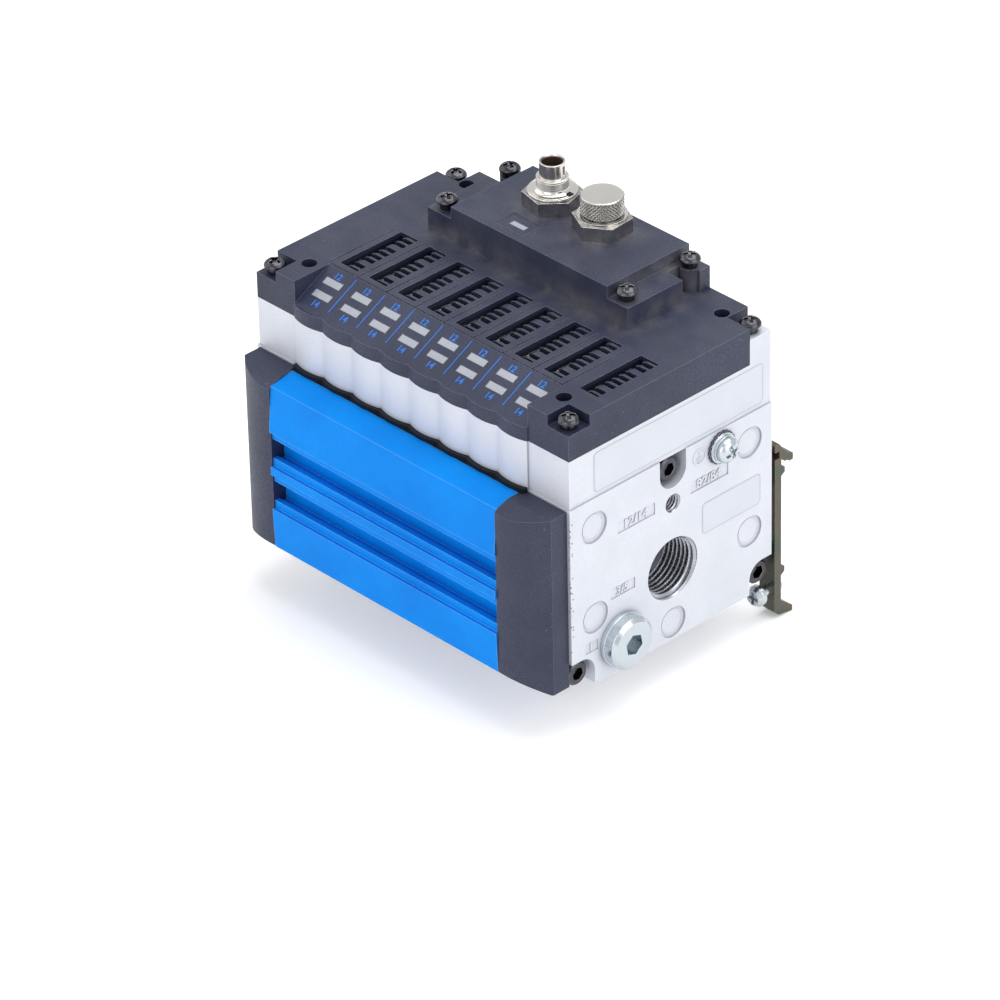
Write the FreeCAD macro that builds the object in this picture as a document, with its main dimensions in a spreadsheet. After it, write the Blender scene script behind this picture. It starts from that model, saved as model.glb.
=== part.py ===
import FreeCAD, Part
import math
import os
import Sketcher

# Valve island, millimetres. The frame of the whole part has its origin at the
# middle of the mounting rail's face: +X to the right, +Y towards the rail,
# +Z up. Each piece is drawn from the corner datum of the island: x from its
# middle plane, y from the front face of the end plates, z from their base.

doc = FreeCAD.newDocument("valve_island")
sheet = doc.addObject("Spreadsheet::Sheet", "sizes")

SIZES = [
    # Overall form of the island
    ("body_width", 108.0), ("body_depth", 67.7), ("plate_thickness", 14.0),
    ("slice_base", 1.2), ("slice_bulge", 0.9), ("step_height", 51.8), ("step_inset", 0.4),
    ("band_height", 13.3), ("cover_height", 10.0), ("post_width", 8.0), ("post_depth", 7.1),
    ("post_height", 6.8), ("cut_over", 1.0), ("end_play", 0.3),
    # Mounting rail and its brackets
    ("rail_height", 35.0), ("rail_play", 0.2), ("rail_base", -2.8),
    ("bracket_gap", 1.9), ("bracket_sheet", 2.2), ("bracket_width", 11.8),
    ("bracket_side_gap", 0.7), ("dimple_rise", 1.2), ("dimple_flat", 1.45),
    ("dimple_foot", 0.8), ("dimple_low_z", 1.6), ("dimple_drop", 2.2),
    ("hook_reach", 4.0), ("hook_height", 5.6), ("hook_sheet", 1.2), ("hook_lip", 0.6),
    ("hook_lip_gap", 1.5), ("hook_bend_low", 1.7), ("hook_bend_high", 3.0),
    ("hook_crown", 1.0), ("hook_edge", 0.6), ("hook_notch_low", 1.6),
    ("hook_notch_height", 2.0), ("hook_notch_width", 3.0),
    ("foot_base", -12.0), ("foot_top", -7.2), ("foot_width", 5.2), ("foot_slope", 3.2),
    ("foot_bend", 2.3), ("foot_round", 0.9), ("leg_cut_top", 6.0),
    ("pad_base", 10.0), ("pad_height", 16.0), ("pad_width", 8.0), ("pad_inset", 1.9),
    ("fixing_radius", 1.5), ("fixing_head", 2.8), ("fixing_length", 6.0),
    ("fixing_head_height", 1.1), ("fixing_hole_depth", 8.0), ("fixing_recess_span", 2.8),
    ("fixing_recess_slot", 0.7), ("fixing_recess_depth", 0.8),
    ("lock_screw_head", 2.8), ("lock_screw_head_height", 2.3), ("lock_screw_radius", 1.5),
    ("lock_screw_length", 7.1), ("lock_screw_stand", 2.8), ("lock_screw_point", 0.5),
    ("lock_screw_play", 0.03),
    # Valve slices and what moves in them
    ("spool_y", 22.0), ("bore_radius", 2.6), ("bore_base", 8.0), ("bore_spare", 1.8),
    ("spool_clearance", 0.05), ("spool_length", 44.0), ("spool_travel", 2.6),
    ("land_height", 5.0), ("spool_waist", 1.5), ("plug_height", 2.4), ("plug_lip", 0.6),
    ("plug_thread_play", 0.02), ("plug_key", 2.5),
    ("work_port_radius", 3.2), ("work_port_low", 17.0), ("work_port_high", 39.0),
    ("gallery_radius", 6.0), ("gallery_floor", 3.0), ("override_front", 16.0),
    ("override_back", 31.1), ("override_radius", 1.4), ("override_clearance", 0.08),
    ("override_sink", 3.7), ("override_root", 6.1), ("override_stroke", 1.2),
    ("override_head", 2.0), ("override_edge", 0.4),
    # Tie screws through the whole stack
    ("tie_low_front_y", 3.2), ("tie_low_back_inset", 3.3), ("tie_low_z", 4.1),
    ("tie_high_offset", 0.35), ("tie_high_drop", 4.4), ("tie_head_radius", 3.15),
    ("tie_head_length", 3.6), ("tie_head_edge", 0.4), ("tie_radius", 1.75),
    ("tie_hole_play", 0.25), ("tie_pocket_depth", 5.0), ("tie_pocket_radius", 4.4),
    ("tie_socket", 3.2), ("tie_socket_depth", 2.2), ("tie_end_inset", 4.0),
    # Ports and marks of the end plates
    ("exhaust_z", 20.3), ("exhaust_radius", 8.33), ("exhaust_depth", 12.0),
    ("pilot_offset", 0.25), ("pilot_z", 38.6), ("pilot_radius", 2.5), ("pilot_depth", 9.0),
    ("supply_y", 16.3), ("supply_z", 8.9), ("supply_radius", 4.86), ("supply_depth", 9.5),
    ("mark_radius", 4.25), ("mark_depth", 0.5), ("mark_front_y", 7.9),
    ("mark_back_inset", 7.7), ("mark_low_z", 18.6), ("mark_high_drop", 7.9),
    ("mark_base_z", 4.9), ("figure_depth", 0.25), ("pilot_figure_height", 3.3),
    ("port_figure_height", 3.0),
    ("pilot_figure_y", 15.8), ("pilot_figure_length", 12.3), ("return_figure_y", 40.1),
    ("return_figure_length", 12.7), ("pilot_figure_z", 38.35), ("exhaust_figure_y", 13.1),
    ("exhaust_figure_length", 8.1), ("exhaust_figure_z", 20.9), ("supply_figure_y", 4.5),
    ("supply_figure_length", 4.2), ("supply_figure_z", 9.3),
    ("plug_flange_radius", 6.8), ("plug_flange", 3.3), ("plug_socket", 5.0),
    ("plug_socket_depth", 4.5), ("plug_rim", 0.9), ("plug_point", 0.6),
    ("seal_radius", 7.0), ("seal_thickness", 1.3), ("plug_play", 0.1),
    ("earth_inset", 17.4), ("earth_drop", 4.7), ("earth_radius", 2.0), ("earth_depth", 8.0),
    ("earth_head_radius", 3.3), ("earth_head", 2.4), ("earth_shank_play", 0.05),
    ("earth_recess_span", 3.6), ("earth_recess_slot", 0.9), ("earth_recess_depth", 1.3),
    ("washer_outer", 3.95), ("washer_sheet", 0.9), ("washer_ledge", 0.35),
    # Cover over the electronics
    ("cover_wall", 2.0), ("cover_deck", 2.4), ("label_top_y", 12.1), ("label_low", 3.8),
    ("cavity_clearance", 0.6), ("comb_first_y", 14.1), ("comb_offset", 1.4),
    ("comb_width", 6.1), ("comb_slot", 1.6), ("comb_end_slot", 0.8), ("comb_tooth", 0.65),
    ("comb_wide_tooth", 1.75), ("comb_channel", 2.0), ("comb_slope_run", 3.4),
    ("comb_slope_depth", 1.2), ("comb_overlap", 0.01), ("end_comb_inset", 10.6),
    ("groove_width", 0.35), ("groove_depth", 0.3), ("groove_length", 22.0),
    ("groove_shift", 0.6),
    ("corner_pocket", 7.4), ("corner_floor_height", 7.0), ("corner_screw_inset", 3.6),
    ("back_screw_inset", 3.7), ("cover_hole_radius", 2.0), ("cover_hole_inset", 10.3),
    ("cover_hole_front_y", 8.7), ("cover_hole_back_inset", 6.5),
    ("window_length", 5.8), ("window_width", 1.8), ("window_upper_y", 8.35),
    ("window_lower_y", 4.75), ("window_sink", 0.1), ("pane_root", 0.9), ("pane_play", 0.03),
    ("passage_inset", 3.0), ("board_rise", 1.9), ("board_thickness", 1.6),
    ("board_lead", 2.5),
    # Raised housing with its two sockets
    ("housing_left_inset", 4.9), ("housing_right_inset", 6.6), ("block_left_inset", 8.2),
    ("block_right_inset", 6.9), ("housing_depth", 27.7), ("housing_step_height", 6.0),
    ("housing_block_height", 3.3), ("step_back_inset", 9.3), ("housing_notch", 5.2),
    ("housing_rib", 3.4), ("housing_wall", 2.2), ("housing_screw_inset", 3.5),
    ("housing_screw_front", 3.3), ("housing_screw_back", 3.3), ("screw_post_radius", 2.4),
    ("lamp_x", -9.2), ("lamp_setback", 5.7), ("lamp_length", 5.0), ("lamp_width", 1.8),
    ("lamp_depth", 1.2), ("lamp_pane", 0.8), ("plate_recess", 0.3), ("plate_left", -14.2),
    ("plate_length", 9.6), ("plate_setback", 9.0), ("plate_depth", 6.5),
    ("socket_inset", 9.5), ("socket_left_x", -10.3), ("socket_right_x", 6.7),
    ("socket_radius", 4.3), ("socket_flange_radius", 6.2), ("socket_flange", 0.7),
    ("nut_flats", 13.0), ("nut_height", 3.8), ("sleeve_radius", 3.2),
    ("thread_length", 2.8), ("sleeve_length", 4.8), ("sleeve_wall", 0.45),
    ("insert_lead", 1.9), ("pin_length", 3.6), ("pin_radius", 0.38), ("pin_circle", 1.55),
    ("socket_play", 0.1), ("cap_radius", 5.4), ("cap_height", 5.2), ("cap_wall", 0.9),
    ("cap_edge", 0.35), ("cap_thread_play", 0.06), ("cap_head_room", 0.6),
    # Screws of the cover and the housing
    ("pan_radius", 2.75), ("pan_height", 1.9), ("pan_neck", 1.6), ("pan_neck_radius", 1.9),
    ("pan_shank_radius", 1.45), ("pan_shank", 7.0), ("pan_hole_play", 0.15),
    ("pan_recess_span", 3.16), ("pan_recess_slot", 0.75), ("pan_recess_depth", 1.1),
    # Rail over the working ports, with its gasket and end caps
    ("rail_left_inset", 0.6), ("rail_right_inset", 1.2), ("front_rail_base", 4.4),
    ("front_rail_drop", 1.8), ("front_rail_reach", 10.2), ("front_rail_crown", 1.1),
    ("front_rail_lean", 0.45), ("front_rail_back", 1.8), ("roof_rise", 1.2),
    ("roof_back", 0.9), ("groove_low_z", 20.3), ("groove_high_z", 32.4),
    ("groove_mouth", 5.5), ("groove_room", 7.9), ("groove_ledge", 9.9),
    ("groove_sink", 1.0), ("groove_reach", 4.6), ("groove_lip", 1.4),
    ("gasket_base", 5.4), ("gasket_drop", 0.6), ("gasket_lip", 1.2),
    ("gasket_lip_reach", 1.0), ("gasket_port_play", 0.3),
    ("cap_side_gap", 1.0), ("cap_side_depth", 5.1), ("cap_reach", 9.7), ("cap_base", 2.1),
    ("cap_top_drop", 0.5), ("cap_arc", 16.4), ("cap_seat_play", 0.15),
    ("cap_roof_front", 8.7), ("cap_roof_drop", 1.1), ("cap_nose_front", 10.6),
    ("cap_nose_drop", 2.7), ("cap_toe_back", 5.5), ("cap_toe_rise", 2.9),
]


class Size:
    """A length with its number and the formula that the document keeps for it."""

    def __init__(self, value, text):
        self.value = value
        self.text = text

    @staticmethod
    def of(other):
        return other if isinstance(other, Size) else Size(float(other), repr(float(other)))

    def __add__(self, other):
        other = Size.of(other)
        return Size(self.value + other.value, "(%s + %s)" % (self.text, other.text))

    def __sub__(self, other):
        other = Size.of(other)
        return Size(self.value - other.value, "(%s - %s)" % (self.text, other.text))

    def __mul__(self, other):
        other = Size.of(other)
        return Size(self.value * other.value, "(%s * %s)" % (self.text, other.text))

    def __truediv__(self, other):
        other = Size.of(other)
        return Size(self.value / other.value, "(%s / %s)" % (self.text, other.text))

    def __radd__(self, other):
        return Size.of(other) + self

    def __rsub__(self, other):
        return Size.of(other) - self

    def __rmul__(self, other):
        return Size.of(other) * self

    def __neg__(self):
        return Size(-self.value, "(0 - %s)" % self.text)


class Sizes:
    """The spreadsheet's values, each read by its own name."""

    def __init__(self, rows):
        for number, (name, value) in enumerate(rows, start=1):
            sheet.set("A%d" % number, name)
            sheet.set("B%d" % number, repr(value))
            sheet.setAlias("B%d" % number, name)
            setattr(self, name, Size(float(value), "sizes." + name))
        self.rows = len(rows)

    def follow(self, name, size):
        """Keep a size that follows from others as a formula of its own name."""
        self.rows += 1
        sheet.set("A%d" % self.rows, name)
        sheet.set("B%d" % self.rows, "=" + size.text.replace("sizes.", ""))
        sheet.setAlias("B%d" % self.rows, name)
        setattr(self, name, Size(size.value, "sizes." + name))


SLICE_COUNT = 8
PIN_COUNT = 5
LAND_COUNT = 4
COMB_GROUPS = (2, 4, 3)
NUT_TURNS = (-13.0, -26.0)
TIE_SOCKET_TURN = 15.0
PLUG_SOCKET_TURN = 10.0
PIN_TURN = 18.0
HEAD_SIDE = 0.45
HEAD_CROWN = 0.72
PIECES = []

s = Sizes(SIZES)
half_width = s.body_width / 2
plate_x = half_width - s.plate_thickness


def follow_sizes():
    """The sizes that follow from others: heights stack up, places hold to an edge."""
    keep_size = s.follow
    keep_size("slice_pitch", (s.body_width - 2 * s.plate_thickness) / SLICE_COUNT)
    keep_size("cover_base", s.step_height + s.band_height)
    keep_size("cover_top", s.cover_base + s.cover_height)
    keep_size("post_top", s.cover_base + s.post_height)
    keep_size("label_low_z", s.cover_base + s.label_low)
    keep_size("corner_floor", s.cover_base + s.corner_floor_height)
    keep_size("board_z", s.cover_base + s.board_rise)
    keep_size("bore_top", s.bore_base + 2 * s.end_play + s.spool_length + s.spool_travel
              + s.bore_spare)
    keep_size("override_top", s.cover_top - s.override_sink)
    keep_size("override_seat", s.cover_base - s.override_root)
    keep_size("well_depth", s.override_root + s.override_stroke + s.end_play)
    keep_size("tie_low_back_y", s.body_depth - s.tie_low_back_inset)
    keep_size("tie_high_y", s.body_depth / 2 + s.tie_high_offset)
    keep_size("tie_high_z", s.step_height - s.tie_high_drop)
    keep_size("exhaust_y", s.body_depth / 2)
    keep_size("pilot_y", s.body_depth / 2 + s.pilot_offset)
    keep_size("earth_y", s.body_depth - s.earth_inset)
    keep_size("earth_z", s.step_height - s.earth_drop)
    keep_size("mark_back_y", s.body_depth - s.mark_back_inset)
    keep_size("mark_high_z", s.step_height - s.mark_high_drop)
    keep_size("back_screw_y", s.body_depth - s.back_screw_inset)
    keep_size("cover_hole_back_y", s.body_depth - s.cover_hole_back_inset)
    keep_size("housing_left", s.housing_left_inset - plate_x)
    keep_size("housing_right", plate_x - s.housing_right_inset)
    keep_size("block_left", s.housing_left + s.block_left_inset)
    keep_size("block_right", s.housing_right - s.block_right_inset)
    keep_size("housing_front_y", s.body_depth - s.housing_depth)
    keep_size("board_front_y", s.housing_front_y - s.board_lead)
    keep_size("housing_step", s.cover_top + s.housing_step_height)
    keep_size("housing_top", s.housing_step + s.housing_block_height)
    keep_size("step_back_y", s.body_depth - s.step_back_inset)
    keep_size("housing_screw_front_y", s.housing_front_y + s.housing_screw_front)
    keep_size("housing_screw_back_y", s.body_depth - s.housing_screw_back)
    keep_size("lamp_y", s.housing_front_y + s.lamp_setback)
    keep_size("plate_back_y", s.housing_front_y + s.plate_setback)
    keep_size("socket_y", s.body_depth - s.socket_inset)
    keep_size("flange_top", s.housing_top + s.nut_height + s.socket_flange)
    keep_size("socket_thread_top", s.flange_top + s.thread_length)
    keep_size("sleeve_top", s.socket_thread_top + s.sleeve_length)
    keep_size("insert_top", s.socket_thread_top + s.insert_lead)
    keep_size("cap_top", s.flange_top + s.cap_height)
    keep_size("front_rail_left", s.rail_left_inset - plate_x)
    keep_size("front_rail_right", plate_x - s.rail_right_inset)
    keep_size("front_rail_top", s.step_height - s.front_rail_drop)
    keep_size("gasket_top", s.step_height - s.gasket_drop)
    keep_size("end_cap_top", s.step_height - s.cap_top_drop)
    keep_size("hook_seat", s.rail_base + s.rail_height + s.rail_play)
    keep_size("hook_top", s.hook_seat + s.hook_height)


follow_sizes()
doc.recompute()

rail_front_y = s.body_depth + s.bracket_gap + s.bracket_sheet + s.dimple_rise
rail_middle_z = s.rail_base + s.rail_height / 2


def bind(item, prop, length):
    """Tie one property of an object to a length."""
    length = Size.of(length)
    item.setExpression(prop, length.text)


def place(item, x=0.0, y=0.0, z=0.0, turn=None):
    """Put a piece at a point given from the corner datum, turned about that point."""
    if turn is not None:
        item.Placement = FreeCAD.Placement(FreeCAD.Vector(), turn)
    bind(item, "Placement.Base.x", Size.of(x))
    bind(item, "Placement.Base.y", Size.of(y) - rail_front_y)
    bind(item, "Placement.Base.z", Size.of(z) - rail_middle_z)


def keep(item, label):
    """Name an object as one piece of the island."""
    item.Label = label
    PIECES.append(item)
    return item


def new_body(name):
    return doc.addObject("PartDesign::Body", name)


def plane_of(body, role):
    for feature in body.Origin.OriginFeatures:
        if feature.Role == role:
            return feature
    raise ValueError(role)


def new_sketch(body, name, role, offset=0.0):
    """An empty sketch on the body's own plane, moved along the plane's normal."""
    sketch = body.newObject("Sketcher::SketchObject", name)
    sketch.AttachmentSupport = [(plane_of(body, role), "")]
    sketch.MapMode = "FlatFace"
    bind(sketch, "AttachmentOffset.Base.z", offset)
    return sketch


def tie_point(sketch, line, end, x, y):
    """Hold one end of a line or arc, or a circle's middle, at a point."""
    for kind, length in (("DistanceX", Size.of(x)), ("DistanceY", Size.of(y))):
        index = sketch.addConstraint(Sketcher.Constraint(kind, -1, 1, line, end, length.value))
        sketch.setExpression("Constraints[%d]" % index, length.text)


def arc_between(start, end, radius, left):
    """An arc from start to end; left says on which side of the chord it bulges."""
    ax, ay = start
    bx, by = end
    half = math.hypot(bx - ax, by - ay) / 2
    rise = math.sqrt(max(radius * radius - half * half, 0.0))
    ux, uy = (bx - ax) / (2 * half), (by - ay) / (2 * half)
    side = 1.0 if left else -1.0
    middle = ((ax + bx) / 2 + side * uy * rise, (ay + by) / 2 - side * ux * rise)
    angles = [math.atan2(p[1] - middle[1], p[0] - middle[0]) for p in (start, end)]
    first, last = (angles[1], angles[0]) if left else (angles[0], angles[1])
    if last < first:
        last += 2 * math.pi
    circle = Part.Circle(FreeCAD.Vector(middle[0], middle[1], 0), FreeCAD.Vector(0, 0, 1), radius)
    return Part.ArcOfCircle(circle, first, last)


def outline(sketch, corners):
    """A closed outline through the corners.

    A corner is (x, y) for a straight run to the next corner, or
    (x, y, radius, side) for an arc to it that bulges to the left or right.
    """
    count = len(corners)
    first = sketch.GeometryCount
    points = [(Size.of(c[0]), Size.of(c[1])) for c in corners]
    ends = []
    for i, corner in enumerate(corners):
        a = points[i]
        b = points[(i + 1) % count]
        start, end = (a[0].value, a[1].value), (b[0].value, b[1].value)
        if len(corner) == 4:
            left = corner[3] == "left"
            sketch.addGeometry(arc_between(start, end, Size.of(corner[2]).value, left), False)
            ends.append((2, 1) if left else (1, 2))
        else:
            sketch.addGeometry(Part.LineSegment(FreeCAD.Vector(start[0], start[1], 0),
                                                FreeCAD.Vector(end[0], end[1], 0)), False)
            ends.append((1, 2))
    for i in range(count):
        j = (i + 1) % count
        sketch.addConstraint(Sketcher.Constraint("Coincident", first + i, ends[i][1],
                                                 first + j, ends[j][0]))
    for i, corner in enumerate(corners):
        tie_point(sketch, first + i, ends[i][0], *points[i])
        if len(corner) == 4:
            radius = Size.of(corner[2])
            index = sketch.addConstraint(Sketcher.Constraint("Radius", first + i, radius.value))
            sketch.setExpression("Constraints[%d]" % index, radius.text)


def rectangle(sketch, x0, y0, x1, y1):
    outline(sketch, [(x0, y0), (x1, y0), (x1, y1), (x0, y1)])


def circle(sketch, x, y, radius):
    """A circle whose middle and radius are held."""
    x, y, radius = Size.of(x), Size.of(y), Size.of(radius)
    index = sketch.addGeometry(Part.Circle(FreeCAD.Vector(x.value, y.value, 0),
                                           FreeCAD.Vector(0, 0, 1), radius.value), False)
    tie_point(sketch, index, 3, x, y)
    number = sketch.addConstraint(Sketcher.Constraint("Radius", index, radius.value))
    sketch.setExpression("Constraints[%d]" % number, radius.text)


def extrude(body, kind, name, sketch, length, back=False):
    """A pad or pocket of one length, along the sketch's normal or against it."""
    feature = body.newObject("PartDesign::" + kind, name)
    feature.Profile = sketch
    bind(feature, "Length", length)
    feature.Reversed = back
    sketch.Visibility = False
    return feature


def pad(body, name, sketch, length, back=False):
    return extrude(body, "Pad", name, sketch, length, back)


def pocket(body, name, sketch, length, back=False):
    return extrude(body, "Pocket", name, sketch, length, back)


def turned(body, name, corners, kind="Revolution"):
    """A round body about its Z axis from (radius, height) corners."""
    sketch = new_sketch(body, name + "_profile", "XZ_Plane")
    outline(sketch, corners)
    feature = body.newObject("PartDesign::" + kind, name)
    feature.Profile = sketch
    feature.ReferenceAxis = (sketch, ["V_Axis"])
    feature.Angle = 360.0
    sketch.Visibility = False
    return feature


def hexagon(sketch, flats, x=0.0, y=0.0, turn=0.0):
    """A regular hexagon from its width across flats."""
    radius = flats / math.sqrt(3.0)
    corners = []
    for k in range(6):
        angle = math.radians(60.0 * k + turn)
        corners.append((x + radius * math.cos(angle), y + radius * math.sin(angle)))
    outline(sketch, corners)


def cross_recess(body, name, top, span, width, depth):
    """A cross recess cut down from a screw's top face."""
    sketch = new_sketch(body, name + "_cross", "XY_Plane", top)
    a, b = Size.of(span) / 2, Size.of(width) / 2
    outline(sketch, [(a, -b), (a, b), (b, b), (b, a), (-b, a), (-b, b), (-a, b), (-a, -b),
                     (-b, -b), (-b, -a), (b, -a), (b, -b)])
    return pocket(body, name, sketch, depth)


def group(name, members):
    """Several like solids as one piece."""
    compound = doc.addObject("Part::Compound", name)
    compound.Links = members
    return keep(compound, name)


def slice_x(index):
    """Middle of one valve slice, counted from the left."""
    return s.slice_pitch * (index - (SLICE_COUNT - 1) / 2)


def bulge_radius():
    """Radius of the rounded front of a slice, from its width and its rise."""
    half = s.slice_pitch / 2
    return (half * half + s.slice_bulge * s.slice_bulge) / (2 * s.slice_bulge)


TURN_RIGHT = FreeCAD.Rotation(FreeCAD.Vector(0, 1, 0), 90)
TURN_LEFT = FreeCAD.Rotation(FreeCAD.Vector(0, 1, 0), -90)
TURN_FRONT = FreeCAD.Rotation(FreeCAD.Vector(1, 0, 0), 90)
TURN_BACK = FreeCAD.Rotation(FreeCAD.Vector(1, 0, 0), -90)


def tie_points():
    """Where the three tie screws run, as (y, z)."""
    return [(s.tie_low_front_y, s.tie_low_z), (s.tie_low_back_y, s.tie_low_z),
            (s.tie_high_y, s.tie_high_z)]


def end_plate(side, label):
    """A cast end plate. It is drawn as the right one; side is 1 or -1."""
    body = new_body(label)
    inner, outer = plate_x, half_width

    def x_sketch(name, at):
        return new_sketch(body, name, "YZ_Plane", side * at)

    out = side < 0
    low = x_sketch("foot_outline", inner)
    rectangle(low, 0, 0, s.body_depth, s.step_height)
    pad(body, "lower_part", low, s.plate_thickness, out)
    band = x_sketch("band_outline", inner)
    rectangle(band, s.step_inset, s.step_height, s.body_depth, s.cover_base)
    pad(body, "upper_band", band, s.plate_thickness - s.step_inset, out)
    post = x_sketch("post_outline", outer - s.post_width)
    rectangle(post, s.body_depth - s.post_depth, s.cover_base, s.body_depth, s.post_top)
    pad(body, "corner_post", post, s.post_width - s.step_inset, out)
    boss = x_sketch("pad_outline", outer - s.bracket_side_gap - s.pad_width - s.pad_inset)
    rectangle(boss, s.body_depth, s.pad_base, s.body_depth + s.bracket_gap,
              s.pad_base + s.pad_height)
    pad(body, "bracket_pad", boss, s.pad_width, out)

    front = x_sketch("front_notch", outer)
    radius, y, z, over = s.tie_pocket_radius, s.tie_low_front_y, s.tie_low_z, s.cut_over
    outline(front, [(-over, -over), (y + radius, -over), (y + radius, z, radius, "right"),
                    (y, z + radius), (-over, z + radius)])
    pocket(body, "front_corner", front, s.tie_pocket_depth, out)
    back = x_sketch("back_notch", outer)
    y = s.tie_low_back_y
    outline(back, [(s.body_depth + over, -over), (y - radius, -over),
                   (y - radius, z, radius, "left"), (y, z + radius),
                   (s.body_depth + over, z + radius)])
    pocket(body, "back_corner", back, s.tie_pocket_depth, out)
    slot = x_sketch("tie_slot", outer)
    y, z = s.tie_high_y, s.tie_high_z
    rectangle(slot, y - radius, z, y + radius, s.step_height)
    pocket(body, "high_tie_slot", slot, s.tie_pocket_depth, out)
    ring = x_sketch("tie_ring", outer)
    circle(ring, y, z, radius)
    pocket(body, "high_tie_pocket", ring, s.tie_pocket_depth, out)

    holes = x_sketch("tie_holes", outer)
    for y, z in tie_points():
        circle(holes, y, z, s.tie_radius + s.tie_hole_play)
    pocket(body, "tie_screw_holes", holes, s.plate_thickness + over, out)
    marks = x_sketch("core_marks", outer)
    for y in (s.mark_front_y, s.mark_back_y):
        for z in (s.mark_low_z, s.mark_high_z):
            circle(marks, y, z, s.mark_radius)
    circle(marks, s.exhaust_y, s.mark_base_z, s.mark_radius)
    pocket(body, "round_marks", marks, s.mark_depth, out)
    gallery = x_sketch("gallery_circle", inner)
    circle(gallery, s.exhaust_y, s.exhaust_z, s.gallery_radius)
    pocket(body, "gallery_bore", gallery, s.plate_thickness - s.gallery_floor, side > 0)
    if side > 0:
        ports = x_sketch("exhaust_circle", outer)
        circle(ports, s.exhaust_y, s.exhaust_z, s.exhaust_radius)
        pocket(body, "exhaust_port", ports, s.exhaust_depth, out)
        pilot = x_sketch("pilot_circle", outer)
        circle(pilot, s.pilot_y, s.pilot_z, s.pilot_radius)
        pocket(body, "pilot_port", pilot, s.pilot_depth, out)
        supply = x_sketch("supply_circle", outer)
        circle(supply, s.supply_y, s.supply_z, s.supply_radius)
        pocket(body, "supply_port", supply, s.supply_depth, out)
        earth = x_sketch("earth_circle", outer)
        circle(earth, s.earth_y, s.earth_z, s.earth_radius)
        pocket(body, "earth_hole", earth, s.earth_depth, out)
        figures = x_sketch("figure_fields", outer)
        tall, low = s.pilot_figure_height, s.port_figure_height
        for y, z, length, height in (
                (s.pilot_figure_y, s.pilot_figure_z, s.pilot_figure_length, tall),
                (s.return_figure_y, s.pilot_figure_z, s.return_figure_length, tall),
                (s.exhaust_figure_y, s.exhaust_figure_z, s.exhaust_figure_length, low),
                (s.supply_figure_y, s.supply_figure_z, s.supply_figure_length, low)):
            rectangle(figures, y, z, y + length, z + height)
        pocket(body, "figure_recesses", figures, s.figure_depth, out)
    else:
        blanks = x_sketch("blank_circles", outer)
        circle(blanks, s.exhaust_y, s.exhaust_z, s.exhaust_radius)
        circle(blanks, s.supply_y, s.supply_z, s.plug_flange_radius)
        pocket(body, "blank_ports", blanks, s.mark_depth, out)

    screws = new_sketch(body, "cover_screw_circles", "XY_Plane", s.post_top)
    circle(screws, side * (half_width - s.corner_screw_inset), s.back_screw_y,
           s.pan_shank_radius + s.pan_hole_play)
    pocket(body, "back_screw_hole", screws, s.pan_shank + s.end_play)
    front_screws = new_sketch(body, "front_screw_circle", "XY_Plane", s.cover_base)
    circle(front_screws, side * (half_width - s.corner_screw_inset), s.corner_screw_inset,
           s.pan_shank_radius + s.pan_hole_play)
    pocket(body, "front_screw_hole", front_screws, s.pan_shank)
    fixing = new_sketch(body, "fixing_circle", "XZ_Plane", -(s.body_depth + s.bracket_gap))
    circle(fixing, side * bracket_middle_x(), s.pad_base + s.pad_height / 2,
           s.fixing_radius + s.pan_hole_play)
    pocket(body, "fixing_hole", fixing, s.fixing_hole_depth, True)
    place(body)
    return keep(body, label)


def bracket_middle_x():
    return half_width - s.bracket_side_gap - s.bracket_width / 2


def valve_slice(index):
    """One cast valve slice with its spool bore, work ports and galleries."""
    label = "valve_slice_%d" % (index + 1)
    body = new_body(label)
    half = s.slice_pitch / 2
    plan = new_sketch(body, "plan_outline", "XY_Plane", s.slice_base)
    outline(plan, [(-half, 0, bulge_radius(), "right"), (half, 0),
                   (half, s.body_depth), (-half, s.body_depth)])
    pad(body, "casting", plan, s.cover_base - s.slice_base)
    bore = new_sketch(body, "bore_circle", "XY_Plane", s.cover_base)
    circle(bore, 0, s.spool_y, s.bore_radius)
    pocket(body, "spool_bore", bore, s.cover_base - s.bore_base)
    mouth = new_sketch(body, "mouth_circle", "XY_Plane", s.cover_base)
    circle(mouth, 0, s.spool_y, s.bore_radius + s.plug_lip)
    pocket(body, "bore_mouth", mouth, s.cover_base - s.bore_top)
    wells = new_sketch(body, "well_circles", "XY_Plane", s.cover_base)
    for y in (s.override_front, s.override_back):
        circle(wells, 0, y, s.override_radius + s.override_clearance)
    pocket(body, "override_wells", wells, s.well_depth)
    ports = new_sketch(body, "work_port_circles", "XZ_Plane", s.slice_bulge + s.cut_over)
    for z in (s.work_port_low, s.work_port_high):
        circle(ports, 0, z, s.work_port_radius)
    pocket(body, "work_ports", ports, s.spool_y + s.slice_bulge)
    across = new_sketch(body, "cross_circles", "YZ_Plane", half)
    for y, z in tie_points():
        circle(across, y, z, s.tie_radius + s.tie_hole_play)
    circle(across, s.exhaust_y, s.exhaust_z, s.gallery_radius)
    pocket(body, "cross_holes", across, s.slice_pitch)
    place(body, slice_x(index))
    return keep(body, label)


def spool(index):
    """A turned spool with four lands, resting on the bottom of its bore."""
    label = "spool_%d" % (index + 1)
    body = new_body(label)
    land = s.bore_radius - s.spool_clearance
    gap = (s.spool_length - LAND_COUNT * s.land_height) / (LAND_COUNT - 1)
    corners = [(0, 0)]
    for k in range(LAND_COUNT):
        base = k * (s.land_height + gap)
        if k:
            corners.append((s.spool_waist, base))
        corners.append((land, base))
        corners.append((land, base + s.land_height))
        if k < LAND_COUNT - 1:
            corners.append((s.spool_waist, base + s.land_height))
    corners.append((0, s.spool_length))
    turned(body, "lands", corners)
    place(body, slice_x(index), s.spool_y, s.bore_base + s.end_play)
    return keep(body, label)


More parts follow.
